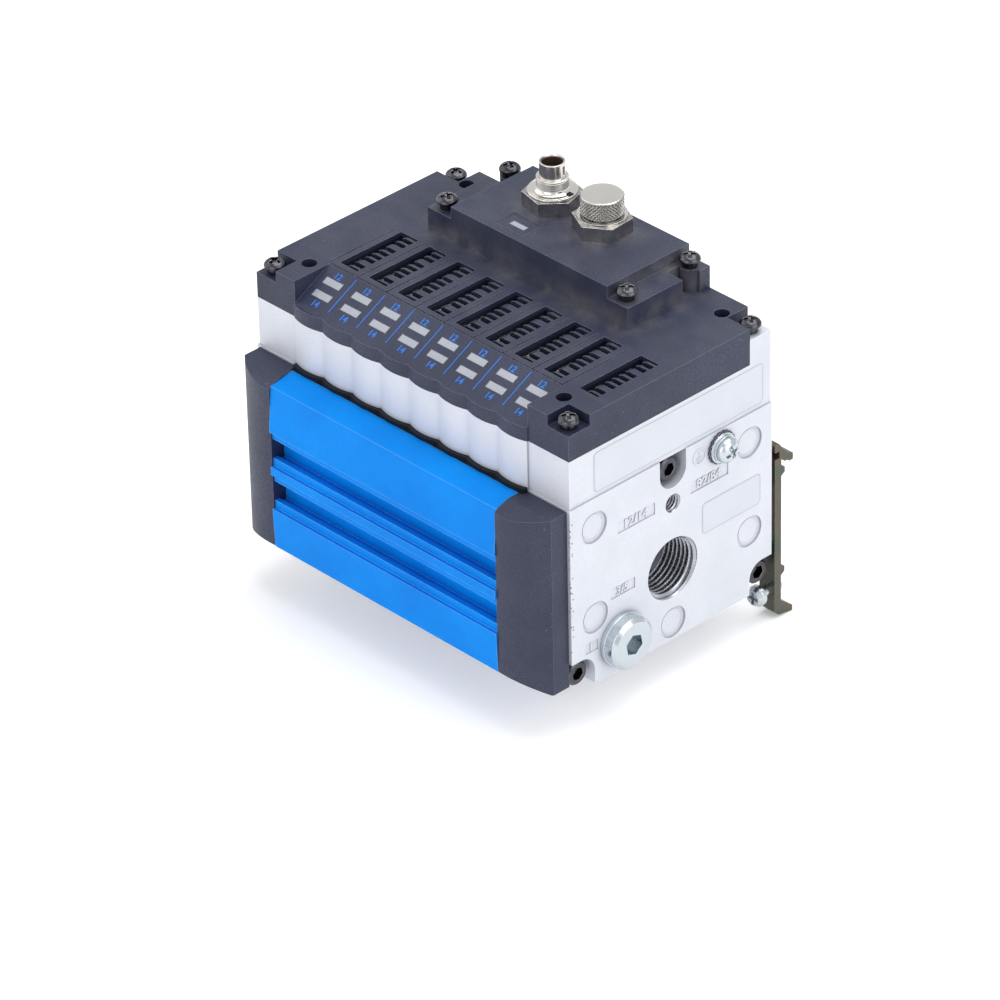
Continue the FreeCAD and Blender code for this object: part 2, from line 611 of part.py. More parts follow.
def bore_plug(index):
    """Screwed plug that closes a spool bore at the top."""
    body = new_body("bore_plug_%d" % (index + 1))
    radius = s.bore_radius + s.plug_lip - s.plug_thread_play
    turned(body, "disc", [(0, 0), (radius, 0), (radius, s.plug_height), (0, s.plug_height)])
    socket = new_sketch(body, "socket_hexagon", "XY_Plane", s.plug_height)
    hexagon(socket, s.plug_key)
    pocket(body, "hex_socket", socket, s.plug_height / 2)
    place(body, slice_x(index), s.spool_y, s.bore_top)
    return body


def override(index, number):
    """Plunger of a manual override: a stem in its well and a wider head."""
    label = "override_%d_%s" % (index + 1, ("a", "b")[number])
    body = new_body(label)
    stem = s.override_radius
    head = s.override_head
    top = s.override_top - s.override_seat
    neck = s.cover_base + s.override_stroke + s.end_play - s.override_seat
    edge = s.override_edge
    turned(body, "plunger", [(0, 0), (stem, 0), (stem, neck), (head, neck),
                             (head, top - edge), (head - edge, top), (0, top)])
    y = (s.override_front, s.override_back)[number]
    place(body, slice_x(index), y, s.override_seat)
    return keep(body, label)


def comb_start(index):
    """Left edge of one slice's comb recess."""
    return slice_x(index) - s.slice_pitch / 2 + s.comb_offset


def comb_slots():
    """Front edge and width of each slot of a comb, in groups with wide teeth between."""
    y, slots = s.comb_first_y, []
    for count in COMB_GROUPS:
        for k in range(count):
            first = not slots
            last = len(slots) == sum(COMB_GROUPS) - 1
            width = s.comb_end_slot if first or last else s.comb_slot
            slots.append((y, width))
            y = y + width + (s.comb_tooth if k < count - 1 else s.comb_wide_tooth)
    return slots


def cut_comb(body, tag, x0):
    """Cut one comb: its slots, the channel they open into and the teeth's sloping ends."""
    over, slots = s.cut_over, comb_slots()
    back = slots[-1][0] + slots[-1][1]
    comb = new_sketch(body, "comb_slots" + tag, "XY_Plane", s.cover_top)
    for y, width in slots:
        rectangle(comb, x0 + s.comb_channel, y, x0 + s.comb_width, y + width)
    cut = pocket(body, "comb_cut" + tag, comb, s.cover_deck + over)
    channel = new_sketch(body, "comb_channel_outline" + tag, "XY_Plane", s.cover_top)
    rectangle(channel, x0, s.comb_first_y, x0 + s.comb_channel + s.comb_overlap, back)
    gutter = pocket(body, "comb_channel_cut" + tag, channel, s.cover_deck + over)
    slope = new_sketch(body, "comb_slope_outline" + tag, "XZ_Plane", -s.comb_first_y)
    outline(slope, [(x0, s.cover_top + over), (x0, s.cover_top - s.comb_slope_depth),
                    (x0 + s.comb_slope_run, s.cover_top),
                    (x0 + s.comb_slope_run, s.cover_top + over)])
    return comb, [cut, gutter, pocket(body, "comb_slope" + tag, slope, back - s.comb_first_y)]


def label_height(y):
    """Height of the sloping label panel above a given depth."""
    rise = (s.cover_top - s.label_low_z) / s.label_top_y
    return s.label_low_z + rise * y


def electronics_cover():
    """Moulded cover with a sloping label panel, combs and screw pockets."""
    body = new_body("electronics_cover")
    half = half_width - s.step_inset
    inner = plate_x
    plan = new_sketch(body, "plan_outline", "XY_Plane", s.cover_base)
    corners = [(-half, s.step_inset)]
    corners.append((-inner, s.step_inset))
    corners.append((-inner, 0, bulge_radius(), "right"))
    for k in range(1, SLICE_COUNT):
        corners.append((-inner + s.slice_pitch * k, 0, bulge_radius(), "right"))
    corners.append((inner, 0))
    corners.append((inner, s.step_inset))
    corners.append((half, s.step_inset))
    corners.append((half, s.body_depth - s.post_depth))
    corners.append((half - s.post_width + s.step_inset, s.body_depth - s.post_depth))
    corners.append((half - s.post_width + s.step_inset, s.body_depth))
    corners.append((-(half - s.post_width + s.step_inset), s.body_depth))
    corners.append((-(half - s.post_width + s.step_inset), s.body_depth - s.post_depth))
    corners.append((-half, s.body_depth - s.post_depth))
    outline(plan, corners)
    pad(body, "block", plan, s.cover_top - s.cover_base)

    slope = new_sketch(body, "label_wedge", "YZ_Plane", inner)
    over = s.cut_over
    drop = s.slice_bulge + over
    outline(slope, [(-drop, s.label_low_z), (0, s.label_low_z), (s.label_top_y, s.cover_top),
                    (s.label_top_y, s.cover_top + over), (-drop, s.cover_top + over)])
    pocket(body, "label_slope", slope, inner * 2)

    cavity = new_sketch(body, "cavity_outline", "XY_Plane", s.cover_base)
    cavity_front = s.comb_first_y - s.cavity_clearance
    rectangle(cavity, -(inner - s.cover_wall), cavity_front, inner - s.cover_wall,
              s.body_depth - s.cover_wall)
    pocket(body, "hollow", cavity, s.cover_top - s.cover_deck - s.cover_base, True)

    pockets = new_sketch(body, "front_corner_outline", "XY_Plane", s.cover_top)
    for side in (-1, 1):
        edge = side * (half + over)
        corner = side * (half_width - s.corner_pocket)
        rectangle(pockets, edge, -over, corner, s.corner_pocket)
    pocket(body, "front_corners", pockets, s.cover_top - s.corner_floor)
    holes = new_sketch(body, "front_screw_circles", "XY_Plane", s.corner_floor)
    for side in (-1, 1):
        circle(holes, side * (half_width - s.corner_screw_inset), s.corner_screw_inset,
               s.pan_shank_radius + s.pan_hole_play)
    pocket(body, "front_screw_holes", holes, s.corner_floor - s.cover_base)
    plain = new_sketch(body, "plain_hole_circles", "XY_Plane", s.cover_top)
    for side in (-1, 1):
        for y in (s.cover_hole_front_y, s.cover_hole_back_y):
            circle(plain, side * (half_width - s.cover_hole_inset), y, s.cover_hole_radius)
    for x in housing_screw_xs():
        for y in (s.housing_screw_front_y, s.housing_screw_back_y):
            circle(plain, x, y, s.pan_shank_radius + s.pan_hole_play)
    pocket(body, "plain_holes", plain, s.cover_height - over)

    comb, cuts = cut_comb(body, "", comb_start(0))
    windows = new_sketch(body, "window_outlines", "XY_Plane", s.cover_top)
    for y in (s.window_upper_y, s.window_lower_y):
        middle = slice_x(0)
        rectangle(windows, middle - s.window_length / 2, y - s.window_width / 2,
                  middle + s.window_length / 2, y + s.window_width / 2)
    panes = pocket(body, "window_cut", windows, s.cover_top - s.label_low_z + s.pane_root)
    pattern = body.newObject("PartDesign::LinearPattern", "per_slice")
    pattern.Originals = cuts + [panes]
    pattern.Direction = (comb, ["H_Axis"])
    bind(pattern, "Length", s.slice_pitch * (SLICE_COUNT - 1))
    pattern.Occurrences = SLICE_COUNT
    body.Tip = pattern
    cut_comb(body, "_end", half_width - s.end_comb_inset)

    lines = new_sketch(body, "frame_lines", "XY_Plane", s.cover_top)
    for k in range(SLICE_COUNT + 1):
        x = -inner + s.slice_pitch * k - s.groove_shift
        rectangle(lines, x - s.groove_width / 2, s.label_top_y + s.groove_width,
                  x + s.groove_width / 2, s.label_top_y + s.groove_length)
    pocket(body, "frame_grooves", lines, s.groove_depth)
    front_line = new_sketch(body, "front_line", "XY_Plane", s.cover_top)
    rectangle(front_line, -inner, s.label_top_y, inner, s.label_top_y + s.groove_width)
    pocket(body, "front_groove", front_line, s.groove_depth)
    passage = new_sketch(body, "cable_passage", "XY_Plane", s.cover_top)
    rectangle(passage, s.block_left + s.passage_inset, s.housing_front_y + s.passage_inset,
              s.block_right - s.passage_inset, s.back_screw_y)
    pocket(body, "passage_to_housing", passage, s.cover_deck + over)
    place(body)
    return keep(body, "electronics_cover")


def light_windows():
    """Clear panes over the lamps: two to a slice, and one on the housing."""
    panes = []
    for k in range(SLICE_COUNT):
        for y in (s.window_upper_y, s.window_lower_y):
            body = new_body("pane")
            x, play = slice_x(k), s.pane_play
            profile = new_sketch(body, "pane_outline", "YZ_Plane",
                                 x - s.window_length / 2 + play)
            y0 = y - s.window_width / 2 + play
            y1 = y + s.window_width / 2 - play
            base = s.label_low_z - s.pane_root
            outline(profile, [(y0, base), (y1, base), (y1, label_height(y1) - s.window_sink),
                              (y0, label_height(y0) - s.window_sink)])
            pad(body, "pane_block", profile, s.window_length - 2 * play)
            place(body)
            panes.append(body)
    body = new_body("housing_pane")
    lamp = new_sketch(body, "lamp_outline", "XY_Plane", s.housing_top - s.lamp_depth)
    half_x = s.lamp_length / 2 - s.pane_play
    half_y = s.lamp_width / 2 - s.pane_play
    rectangle(lamp, s.lamp_x - half_x, s.lamp_y - half_y, s.lamp_x + half_x, s.lamp_y + half_y)
    pad(body, "lamp_pane", lamp, s.lamp_pane)
    place(body)
    panes.append(body)
    return group("light_windows", panes)


def interface_housing():
    """Moulded housing that carries the two round sockets."""
    body = new_body("interface_housing")
    base = new_sketch(body, "base_outline", "XY_Plane", s.cover_top)
    front, back, step = s.housing_front_y, s.body_depth, s.step_back_y
    rib, notch = s.body_depth - s.housing_rib, s.housing_notch
    outline(base, [(s.housing_left, front), (s.housing_right, front), (s.housing_right, step),
                   (s.housing_right - notch, step), (s.housing_right - notch, rib),
                   (s.housing_right, rib), (s.housing_right, back), (s.housing_left, back),
                   (s.housing_left, rib), (s.housing_left + notch, rib),
                   (s.housing_left + notch, step), (s.housing_left, step)])
    pad(body, "base_step", base, s.housing_step - s.cover_top)
    block = new_sketch(body, "block_outline", "XY_Plane", s.housing_step)
    rectangle(block, s.block_left, front, s.block_right, back)
    pad(body, "top_block", block, s.housing_top - s.housing_step)
    posts = new_sketch(body, "post_circles", "XY_Plane", s.cover_top)
    for x in housing_screw_xs():
        circle(posts, x, s.housing_screw_back_y, s.screw_post_radius)
    pad(body, "screw_posts", posts, s.housing_step - s.cover_top)
    cavity = new_sketch(body, "cavity_outline", "XY_Plane", s.cover_top)
    rectangle(cavity, s.block_left + s.housing_wall, front + s.housing_wall,
              s.block_right - s.housing_wall, back - s.housing_wall)
    pocket(body, "hollow", cavity, s.housing_top - s.housing_wall - s.cover_top, True)
    screws = new_sketch(body, "screw_circles", "XY_Plane", s.housing_step)
    for x in housing_screw_xs():
        for y in (s.housing_screw_front_y, s.housing_screw_back_y):
            circle(screws, x, y, s.pan_shank_radius + s.pan_hole_play)
    pocket(body, "screw_holes", screws, s.housing_step - s.cover_top)
    sockets = new_sketch(body, "socket_circles", "XY_Plane", s.housing_top)
    for x in (s.socket_left_x, s.socket_right_x):
        circle(sockets, x, s.socket_y, s.socket_radius + s.socket_play)
    pocket(body, "socket_holes", sockets, s.housing_wall)
    recess = new_sketch(body, "plate_outline", "XY_Plane", s.housing_top)
    rectangle(recess, s.plate_left, s.plate_back_y - s.plate_depth,
              s.plate_left + s.plate_length, s.plate_back_y)
    pocket(body, "plate_sink", recess, s.plate_recess)
    lamp = new_sketch(body, "lamp_outline", "XY_Plane", s.housing_top)
    rectangle(lamp, s.lamp_x - s.lamp_length / 2, s.lamp_y - s.lamp_width / 2,
              s.lamp_x + s.lamp_length / 2, s.lamp_y + s.lamp_width / 2)
    pocket(body, "lamp_cut", lamp, s.lamp_depth)
    place(body)
    return keep(body, "interface_housing")


def housing_screw_xs():
    return (s.housing_left + s.housing_screw_inset, s.housing_right - s.housing_screw_inset)


def circuit_board():
    """Board under the housing, held in the cover's hollow."""
    body = new_body("circuit_board")
    edge = plate_x - s.cover_wall
    plan = new_sketch(body, "board_outline", "XY_Plane", s.board_z)
    rectangle(plan, -edge, s.board_front_y, edge, s.body_depth - s.cover_wall)
    pad(body, "board", plan, s.board_thickness)
    place(body)
    return keep(body, "circuit_board")


def pan_screw(x, y, seat):
    """A black pan-head screw with a neck under its head, seated at a height."""
    body = new_body("pan_screw")
    top = s.pan_neck + s.pan_height
    edge = s.pan_radius
    turned(body, "screw", [(0, -s.pan_shank), (s.pan_shank_radius, -s.pan_shank),
                           (s.pan_shank_radius, 0), (s.pan_neck_radius, 0),
                           (s.pan_neck_radius, s.pan_neck), (edge, s.pan_neck),
                           (edge, s.pan_neck + s.pan_height * HEAD_SIDE),
                           (edge * HEAD_CROWN, top), (0, top)])
    cross_recess(body, "recess", top, s.pan_recess_span, s.pan_recess_slot,
                 s.pan_recess_depth)
    place(body, x, y, seat)
    return body


def cover_screws():
    """The eight like screws of the cover's corners and of the housing."""
    screws = []
    for side in (-1, 1):
        x = side * (half_width - s.corner_screw_inset)
        screws.append(pan_screw(x, s.corner_screw_inset, s.corner_floor))
        screws.append(pan_screw(x, s.back_screw_y, s.post_top))
    for x in housing_screw_xs():
        screws.append(pan_screw(x, s.housing_screw_front_y, s.housing_step))
        screws.append(pan_screw(x, s.housing_screw_back_y, s.housing_step))
    return group("cover_screws", screws)


def socket_shell(label, x, with_sleeve):
    """Turned shell of a round socket, from under the deck to its open end."""
    body = new_body(label)
    base = s.housing_top - s.housing_wall
    seat = s.housing_top + s.nut_height
    rise = seat + s.socket_flange
    inner = s.sleeve_radius - s.sleeve_wall
    core = s.socket_radius
    if with_sleeve:
        corners = [(inner, base), (core, base), (core, seat), (s.socket_flange_radius, seat),
                   (s.socket_flange_radius, rise), (core, rise), (core, s.socket_thread_top),
                   (s.sleeve_radius, s.socket_thread_top), (s.sleeve_radius, s.sleeve_top),
                   (inner, s.sleeve_top)]
    else:
        shoulder = s.cap_top - s.cap_wall - s.cap_head_room
        corners = [(inner, base), (core, base), (core, seat), (s.socket_flange_radius, seat),
                   (s.socket_flange_radius, rise), (core, rise), (core, shoulder),
                   (inner, shoulder)]
    turned(body, "shell", corners)
    place(body, x, s.socket_y)
    return keep(body, label)


def socket_nuts():
    """The two hexagon nuts that clamp the sockets on the housing."""
    nuts = []
    for x, turn in ((s.socket_left_x, NUT_TURNS[0]), (s.socket_right_x, NUT_TURNS[1])):
        body = new_body("nut")
        ring = new_sketch(body, "nut_outline", "XY_Plane", s.housing_top)
        hexagon(ring, s.nut_flats, turn=turn)
        circle(ring, 0, 0, s.socket_radius + s.socket_play)
        pad(body, "hexagon", ring, s.nut_height)
        place(body, x, s.socket_y)
        nuts.append(body)
    return group("socket_nuts", nuts)


def socket_insert():
    """Insulating insert of the open socket with its contact pins."""
    body = new_body("socket_insert")
    base = s.housing_top - s.housing_wall
    radius = s.sleeve_radius - s.sleeve_wall
    floor = s.insert_top - s.pin_length
    turned(body, "core", [(0, base), (radius, base), (radius, floor), (0, floor)])
    pins = new_sketch(body, "pin_circles", "XY_Plane", floor)
    for k in range(PIN_COUNT):
        angle = math.radians(360.0 / PIN_COUNT * k + PIN_TURN)
        circle(pins, s.pin_circle * math.cos(angle), s.pin_circle * math.sin(angle),
               s.pin_radius)
    pad(body, "pins", pins, s.pin_length)
    place(body, s.socket_left_x, s.socket_y)
    return keep(body, "socket_insert")


def protective_cap():
    """Knurled cap screwed over the unused socket."""
    body = new_body("protective_cap")
    seat = s.flange_top + s.end_play
    inner = s.socket_radius + s.cap_thread_play
    roof, radius, edge = s.cap_top - s.cap_wall, s.cap_radius, s.cap_edge
    turned(body, "cap", [(inner, seat), (radius - edge, seat), (radius, seat + edge),
                         (radius, s.cap_top - edge), (radius - edge, s.cap_top),
                         (0, s.cap_top), (0, roof), (inner, roof)])
    place(body, s.socket_right_x, s.socket_y)
    return keep(body, "protective_cap")


def tie_screws():
    """Socket-head screws that hold the stack together from the right end."""
    screws = []
    length = s.body_width - s.tie_pocket_depth - s.tie_end_inset
    for y, z in tie_points():
        body = new_body("tie_screw")
        head, edge = s.tie_head_length, s.tie_head_edge
        turned(body, "screw", [(0, -length), (s.tie_radius, -length), (s.tie_radius, 0),
                               (s.tie_head_radius, 0), (s.tie_head_radius, head - edge),
                               (s.tie_head_radius - edge, head), (0, head)])
        socket = new_sketch(body, "socket_hexagon", "XY_Plane", head)
        hexagon(socket, s.tie_socket, turn=TIE_SOCKET_TURN)
        pocket(body, "hex_socket", socket, s.tie_socket_depth)
        place(body, half_width - s.tie_pocket_depth, y, z, TURN_RIGHT)
        screws.append(body)
    return group("tie_screws", screws)


def supply_plug():
    """Plug of the closed supply port, with a flange and a hexagon socket."""
    body = new_body("supply_plug")
    flange, top = s.seal_thickness, s.seal_thickness + s.plug_flange
    edge, shank = s.plug_flange_radius, s.supply_radius - s.plug_play
    point, end = s.plug_point, s.cut_over - s.supply_depth
    turned(body, "plug", [(0, end), (shank - point, end), (shank, end + point),
                          (shank, flange), (edge, flange), (edge, top - s.plug_rim),
                          (edge - s.plug_rim, top), (0, top)])
    socket = new_sketch(body, "socket_hexagon", "XY_Plane", top)
    hexagon(socket, s.plug_socket, turn=PLUG_SOCKET_TURN)
    pocket(body, "hex_socket", socket, s.plug_socket_depth)
    place(body, half_width, s.supply_y, s.supply_z, TURN_RIGHT)
    return keep(body, "supply_plug")


def plug_seal():
    """Sealing ring under the plug's flange."""
    body = new_body("plug_seal")
    inner = s.supply_radius - s.plug_play / 2
    turned(body, "ring", [(inner, 0), (s.seal_radius, 0), (s.seal_radius, s.seal_thickness),
                          (inner, s.seal_thickness)])
    place(body, half_width, s.supply_y, s.supply_z, TURN_RIGHT)
    return keep(body, "plug_seal")


def earth_screw():
    """Pan-head screw of the earth connection."""
    body = new_body("earth_screw")
    seat = 2 * s.washer_sheet
    top = seat + s.earth_head
    edge, shank = s.earth_head_radius, s.earth_radius - s.earth_shank_play
    end = s.cut_over - s.earth_depth
    turned(body, "screw", [(0, end), (shank, end), (shank, seat),
                           (edge, seat), (edge, seat + s.earth_head * HEAD_SIDE),
                           (edge * HEAD_CROWN, top), (0, top)])
    cross_recess(body, "recess", top, s.earth_recess_span, s.earth_recess_slot,
                 s.earth_recess_depth)
    place(body, half_width, s.earth_y, s.earth_z, TURN_RIGHT)
    return keep(body, "earth_screw")


def earth_washers():
    """The two washers under the earth screw's head."""
    rings = []
    for k, radius in enumerate((s.washer_outer, s.washer_outer - s.washer_ledge)):
        body = new_body("washer")
        inner = s.earth_radius
        low, high = s.washer_sheet * k, s.washer_sheet * (k + 1)
        turned(body, "ring", [(inner, low), (radius, low), (radius, high), (inner, high)])
        place(body, half_width, s.earth_y, s.earth_z, TURN_RIGHT)
        rings.append(body)
    return group("earth_washers", rings)


def rail_bracket(side, label):
    """Stamped bracket with a hook over the rail, two dimples and a foot."""
    body = new_body(label)
    outer, over = half_width - s.bracket_side_gap, s.cut_over
    front = s.body_depth + s.bracket_gap
    back = front + s.bracket_sheet
    face = back + s.dimple_rise
    hook = s.hook_seat
    lip = face + s.hook_lip_gap
    tip = face + s.hook_reach - s.dimple_rise
    half, foot = s.dimple_flat / 2, s.dimple_foot
    dimples = []
    for z in (s.dimple_low_z, hook - s.dimple_drop):
        dimples += [(back, z - half - foot), (face, z - half), (face, z + half),
                    (back, z + half + foot)]
    plate = new_sketch(body, "plate_outline", "YZ_Plane", side * outer)
    outline(plate, [(front, s.foot_top), (back, s.foot_top)] + dimples
            + [(back, hook + s.hook_crown), (face, hook), (lip, hook),
               (lip, hook - s.hook_lip), (tip, hook - s.hook_lip),
               (tip, hook + s.hook_sheet), (lip, hook + s.hook_bend_low),
               (face, hook + s.hook_bend_high), (back, s.hook_top - s.hook_crown),
               (back - s.hook_edge, s.hook_top), (front, s.hook_top)])
    pad(body, "plate", plate, s.bracket_width, side > 0)
    cut = new_sketch(body, "leg_outline", "XZ_Plane", -(front - over))
    rectangle(cut, side * (outer - s.foot_width), s.foot_top - over,
              side * (outer - s.bracket_width - over), s.leg_cut_top)
    pocket(body, "leg_cut", cut, s.bracket_sheet + s.dimple_rise + 2 * over)
    toe = new_sketch(body, "foot_outline", "YZ_Plane", side * outer)
    outline(toe, [(front, s.foot_top), (front, s.foot_base + s.foot_bend),
                  (front + s.foot_bend - s.foot_round, s.foot_base + s.foot_round),
                  (tip, s.foot_base), (tip, s.foot_top - s.foot_slope), (back, s.foot_top)])
    pad(body, "foot", toe, s.foot_width, side > 0)
    window = new_sketch(body, "hook_window", "XZ_Plane", -(front - over))
    rectangle(window, side * (outer - s.hook_notch_width), hook + s.hook_notch_low,
              side * (outer + over), hook + s.hook_notch_low + s.hook_notch_height)
    pocket(body, "hook_notch", window, over + s.bracket_sheet - s.hook_edge)
    holes = new_sketch(body, "fixing_circle", "XZ_Plane", -(front - over))
    circle(holes, side * bracket_middle_x(), s.pad_base + s.pad_height / 2,
           s.fixing_radius + s.pan_hole_play)
    circle(holes, side * lock_screw_x(), lock_screw_z(),
           s.lock_screw_radius + s.lock_screw_play)
    pocket(body, "screw_holes", holes, s.bracket_sheet + 2 * over)
    place(body)
    return keep(body, label)


def lock_screw_x():
    return half_width - s.bracket_side_gap - s.foot_width / 2


def lock_screw_z():
    """The lock screw's shank lies just under the rail's lower edge."""
    return s.rail_base - s.lock_screw_radius - s.rail_play / 2


def bracket_screws():
    """Screws that hold the brackets on the pads of the end plates."""
    screws = []
    front = s.body_depth + s.bracket_gap
    for side in (-1, 1):
        body = new_body("bracket_screw")
        seat, radius, head = s.bracket_sheet, s.fixing_radius, s.fixing_head
        top, end = seat + s.fixing_head_height, -s.fixing_length
        turned(body, "screw", [(0, end), (radius, end), (radius, seat), (head, seat),
                               (head, seat + s.fixing_head_height / 2),
                               (head - s.fixing_head_height / 2, top), (0, top)])
        cross_recess(body, "recess", top, s.fixing_recess_span, s.fixing_recess_slot,
                     s.fixing_recess_depth)
        place(body, side * bracket_middle_x(), front, s.pad_base + s.pad_height / 2,
              TURN_BACK)
        screws.append(body)
    return group("bracket_screws", screws)


def rail_lock_screw(side, label):
    """Screw that locks the rail from below, driven from the front, as backed off."""
    body = new_body(label)
    radius, head, point = s.lock_screw_radius, s.lock_screw_head, s.lock_screw_point
    end, top = -s.lock_screw_length, s.lock_screw_head_height
    turned(body, "screw", [(0, end), (radius - point, end), (radius, end + point),
                           (radius, 0), (head, 0), (head, top * HEAD_SIDE),
                           (head * HEAD_CROWN, top), (0, top)])
    cross_recess(body, "recess", top, s.earth_recess_span, s.earth_recess_slot,
                 s.earth_recess_depth)
    seat = s.body_depth + s.bracket_gap - s.lock_screw_stand
    place(body, side * lock_screw_x(), seat, lock_screw_z(), TURN_FRONT)
    return keep(body, label)


def port_gasket():
    """Black seal between the slices' front faces and the rail in front of them."""
    body = new_body("port_gasket")
    plan = new_sketch(body, "plan_outline", "XY_Plane", s.gasket_base)
    inner = plate_x
    face = -s.front_rail_back
    corners = [(-inner, face), (inner, face), (inner, 0, bulge_radius(), "left")]
    for k in range(1, SLICE_COUNT):
        corners.append((inner - s.slice_pitch * k, 0, bulge_radius(), "left"))
    corners.append((-inner, 0))
    outline(plan, corners)
    pad(body, "sheet", plan, s.gasket_top - s.gasket_base)
    lip = new_sketch(body, "lip_outline", "XY_Plane", s.gasket_top)
    edge = -s.gasket_lip_reach
    corners = []
    for k in range(SLICE_COUNT):
        corners.append((-inner + s.slice_pitch * k, edge, bulge_radius(), "right"))
    corners.append((inner, edge))
    for k in range(SLICE_COUNT):
        corners.append((inner - s.slice_pitch * k, 0, bulge_radius(), "left"))
    corners.append((-inner, 0))
    outline(lip, corners)
    pad(body, "wavy_lip", lip, s.gasket_lip)
    ports = new_sketch(body, "port_circles", "XZ_Plane", s.front_rail_back + s.cut_over)
    for k in range(SLICE_COUNT):
        for z in (s.work_port_low, s.work_port_high):
            circle(ports, slice_x(k), z, s.work_port_radius + s.gasket_port_play)
    pocket(body, "port_holes", ports, s.front_rail_back + 2 * s.cut_over)
    place(body)
    return keep(body, "port_gasket")


def front_rail():
    """Extruded rail with a crowned face and two undercut slots."""
    body = new_body("front_rail")
    section = new_sketch(body, "section_outline", "YZ_Plane", s.front_rail_left)
    back, reach = -s.front_rail_back, -s.front_rail_reach
    step, deep = reach + s.groove_sink, reach + s.groove_reach
    lip = step + s.groove_lip
    mouth, room, ledge = s.groove_mouth / 2, s.groove_room / 2, s.groove_ledge / 2
    grooves = []
    for z in (s.groove_low_z, s.groove_high_z):
        grooves += [(reach, z - ledge), (step, z - ledge), (step, z - mouth),
                    (lip, z - mouth), (lip, z - room), (deep, z - room), (deep, z + room),
                    (lip, z + room), (lip, z + mouth), (step, z + mouth),
                    (step, z + ledge), (reach, z + ledge)]
    outline(section, [(back, s.front_rail_base),
                      (reach + s.front_rail_lean, s.front_rail_base)] + grooves
            + [(reach + s.front_rail_crown, s.front_rail_top),
               (back - s.roof_back, s.front_rail_top + s.roof_rise),
               (back, s.front_rail_top + s.roof_rise)])
    pad(body, "extrusion", section, s.front_rail_right - s.front_rail_left)
    place(body)
    return keep(body, "front_rail")


def rail_cap(side, label):
    """End cap of the front rail, rounded at its outer front edge."""
    body = new_body(label)
    outer = half_width - s.cap_side_gap
    inner = s.front_rail_right if side > 0 else -s.front_rail_left
    plan = new_sketch(body, "plan_outline", "XY_Plane", s.cap_base)
    turn = "left" if side > 0 else "right"
    seat = -(s.front_rail_back + s.cap_seat_play)
    outline(plan, [(side * inner, seat), (side * (plate_x + s.cap_seat_play), seat),
                   (side * (plate_x + s.cap_seat_play), 0), (side * outer, 0),
                   (side * outer, -s.cap_side_depth, s.cap_arc, turn),
                   (side * inner, -s.cap_reach)])
    pad(body, "cap", plan, s.end_cap_top - s.cap_base)
    top, base, over = s.end_cap_top, s.cap_base, s.cut_over
    edge = outer + over if side > 0 else over - inner
    far = -(s.cap_nose_front + over)
    roof = new_sketch(body, "roof_outline", "YZ_Plane", edge)
    outline(roof, [(-s.cap_side_depth, top), (-s.cap_roof_front, top - s.cap_roof_drop),
                   (-s.cap_nose_front, top - s.cap_nose_drop), (far, top - s.cap_nose_drop),
                   (far, top + over), (-s.cap_side_depth, top + over)])
    pocket(body, "roof_slope", roof, outer - inner + 2 * over)
    toe = new_sketch(body, "toe_outline", "YZ_Plane", edge)
    outline(toe, [(-s.cap_toe_back, base), (-s.cap_nose_front, base + s.cap_toe_rise),
                  (far, base + s.cap_toe_rise), (far, base - over),
                  (-s.cap_toe_back, base - over)])
    pocket(body, "toe_slope", toe, outer - inner + 2 * over)
    place(body)
    return keep(body, label)


def build_all():
    """Build every piece of the island in turn."""
    end_plate(-1, "left_end_plate")
    end_plate(1, "right_end_plate")
    for k in range(SLICE_COUNT):
        valve_slice(k)
    for k in range(SLICE_COUNT):
        spool(k)
    group("spool_bore_plugs", [bore_plug(k) for k in range(SLICE_COUNT)])
    for k in range(SLICE_COUNT):
        for number in range(2):
            override(k, number)
    electronics_cover()
    light_windows()
    interface_housing()
    circuit_board()
    cover_screws()
    socket_shell("socket_shell_left", s.socket_left_x, True)
    socket_shell("socket_shell_right", s.socket_right_x, False)
    socket_nuts()
    socket_insert()
    protective_cap()
    tie_screws()
    supply_plug()
    plug_seal()
    earth_screw()
    earth_washers()
    rail_bracket(-1, "rail_bracket_left")
    rail_bracket(1, "rail_bracket_right")
    bracket_screws()
    rail_lock_screw(-1, "rail_lock_screw_left")
    rail_lock_screw(1, "rail_lock_screw_right")
    port_gasket()
    front_rail()
    rail_cap(-1, "rail_cap_left")
    rail_cap(1, "rail_cap_right")


def check_and_write():
    """Stop if anything failed, then write one file for each piece."""
    doc.recompute()
    faults = []
    for item in doc.Objects:
        if "Invalid" in item.State or "Error" in item.State:
            faults.append("%s: %s" % (item.Label, item.State))
    for piece in PIECES:
        if piece.Shape.isNull() or not piece.Shape.isValid():
            faults.append("%s: shape" % piece.Label)
    if faults:
        raise RuntimeError("; ".join(faults))
    os.makedirs("parts", exist_ok=True)
    for piece in PIECES:
        piece.Shape.exportStep("parts/%s.step" % piece.Label)
        print("%-22s solids %d volume %.1f" % (piece.Label, len(piece.Shape.Solids),
                                               piece.Shape.Volume))


build_all()
check_and_write()
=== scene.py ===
"""Looks of a pneumatic valve island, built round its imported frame."""

import logging
import math
from dataclasses import dataclass
from enum import Enum
from functools import cache
from typing import Callable, Iterable, Sequence

import bpy
import numpy as np
from bpy.types import Material, Node, NodeSocket, NodeTree, Object
from mathutils import Matrix, Vector

